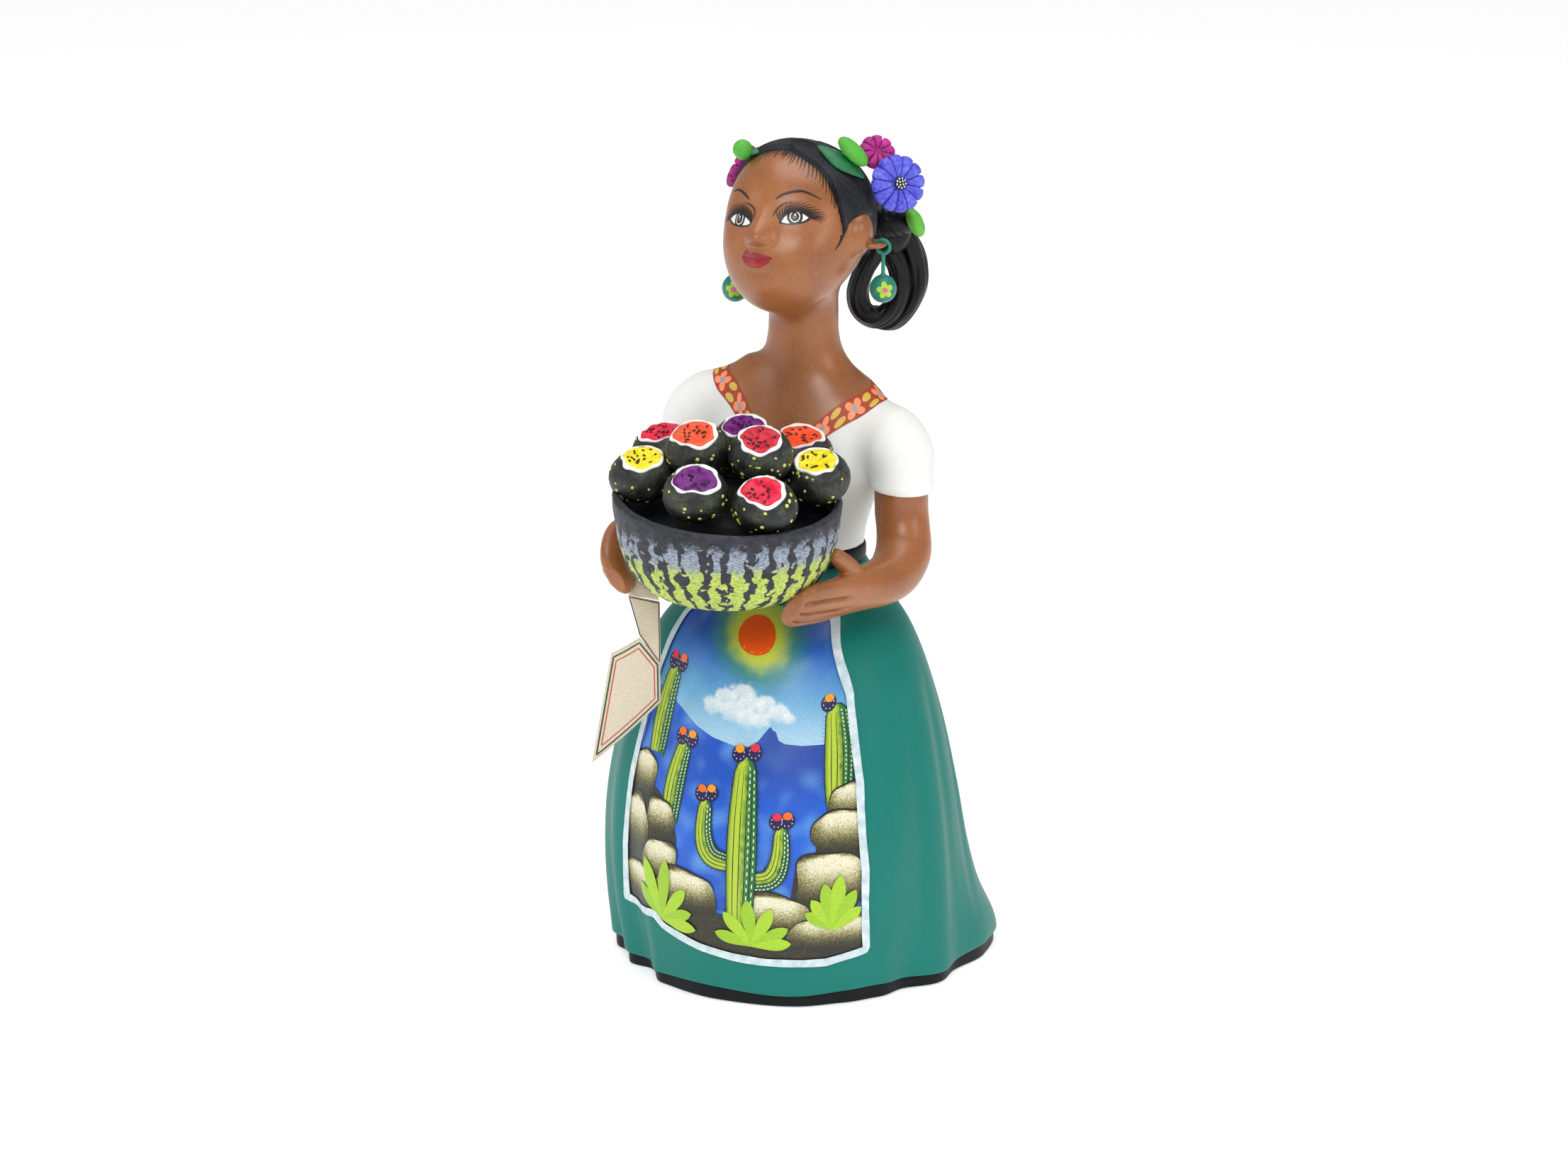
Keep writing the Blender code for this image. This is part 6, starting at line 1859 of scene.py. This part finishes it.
def make_stage():
    """A pale floor, a white world and four soft lamps."""
    floor = bpy.data.meshes.new("floor")
    corners = [(x * FLOOR_HALF, y * FLOOR_HALF, 0) for x, y in ((-1, -1), (1, -1), (1, 1), (-1, 1))]
    floor.from_pydata(corners, [], [(0, 1, 2, 3)])
    floor.materials.append(floor_paint())
    placed("floor", floor)
    world = bpy.data.worlds.new("studio")
    world.use_nodes = True
    background = world.node_tree.nodes["Background"]
    background.inputs["Color"].default_value = (1, 1, 1, 1)
    background.inputs["Strength"].default_value = SKY_LIGHT
    bpy.context.scene.world = world
    bpy.context.scene.view_settings.view_transform = "Standard"
    for name, (place, size, power) in LIGHTS.items():
        light = bpy.data.lights.new(name, "AREA")
        light.shape, light.size, light.energy = "DISK", size, power
        lamp = placed(name, light)
        lamp.location = place
        lamp.rotation_euler = (Vector(LIGHTS_FACE) - Vector(place)).to_track_quat("-Z", "Y").to_euler()


def make_camera():
    """The camera at the photograph's viewing angle."""
    azimuth, elevation = math.radians(VIEW_AZIMUTH), math.radians(VIEW_ELEVATION)
    across = np.array([math.cos(azimuth), math.sin(azimuth), 0.0])
    toward = np.array([math.sin(azimuth) * math.cos(elevation), -math.cos(azimuth) * math.cos(elevation),
                       math.sin(elevation)])
    target = across * VIEW_ASIDE + np.array([0, 0, VIEW_HEIGHT]) + OFFSET
    camera = bpy.data.cameras.new("camera")
    camera.lens, camera.sensor_width = LENS, SENSOR
    camera.clip_start, camera.clip_end = 0.05, 20.0
    eye = placed("camera", camera)
    eye.location = (target + toward * VIEW_DISTANCE) * MM
    eye.rotation_euler = Vector(-toward).to_track_quat("-Z", "Y").to_euler()
    bpy.context.scene.camera = eye


def small_materials():
    """The paints of fruit, flowers, leaves and earrings, by name."""
    materials = {name: brushed(name + "_pulp", colour, 0.34, 0.16, 3.0, 0.08, Specular_IOR_Level=0.25)
                 for name, colour in PULP.items()}
    materials["fruit"] = fruit_paint()
    materials["rim"] = brushed("white_rim", rgb(238, 238, 236), 0.5, 0.04, 5.0, 0.05)
    materials["seed"] = brushed("seed_black", rgb(14, 14, 16), 0.45, 0.3, 3.0, 0.03)
    materials["dot"] = brushed("lime_dots", rgb(206, 212, 96), 0.5, 0.12, 2.0, 0.03)
    materials["blue"] = petal_paint("blue_petals", rgb(44, 40, 182), rgb(112, 118, 228))
    materials["magenta"] = petal_paint("magenta_petals", rgb(112, 8, 84), rgb(200, 30, 150))
    materials["dark_leaf"] = brushed("dark_leaf", rgb(18, 106, 60), 0.5, 0.16, 6.0, 0.05)
    materials["bright"] = brushed("bright_leaf", rgb(78, 168, 52), 0.55, 0.12, 5.0, 0.06)
    materials["lime"] = brushed("lime_leaf", rgb(94, 174, 50), 0.55, 0.12, 5.0, 0.06)
    materials["jade"] = brushed("jade_paint", rgb(20, 124, 104), 0.42, 0.1, 5.0, 0.04)
    return materials


def main():
    make_camera()
    make_stage()
    black = make_skirt()
    bust, clay = make_bust()
    make_arm("left", LEFT_ARM, clay)
    make_arm("right", RIGHT_ARM, clay)
    make_hair()
    make_bowl(black)
    materials = small_materials()
    for number, fruit in enumerate(FRUITS, 1):
        make_fruit(number, *fruit, materials)
    make_flowers(materials)
    make_leaves(materials)
    make_earrings(clay, materials["jade"])
    make_tag()
    paint_face()
    paint_trim(bust)
    paint_apron()
    paint_earrings()


main()
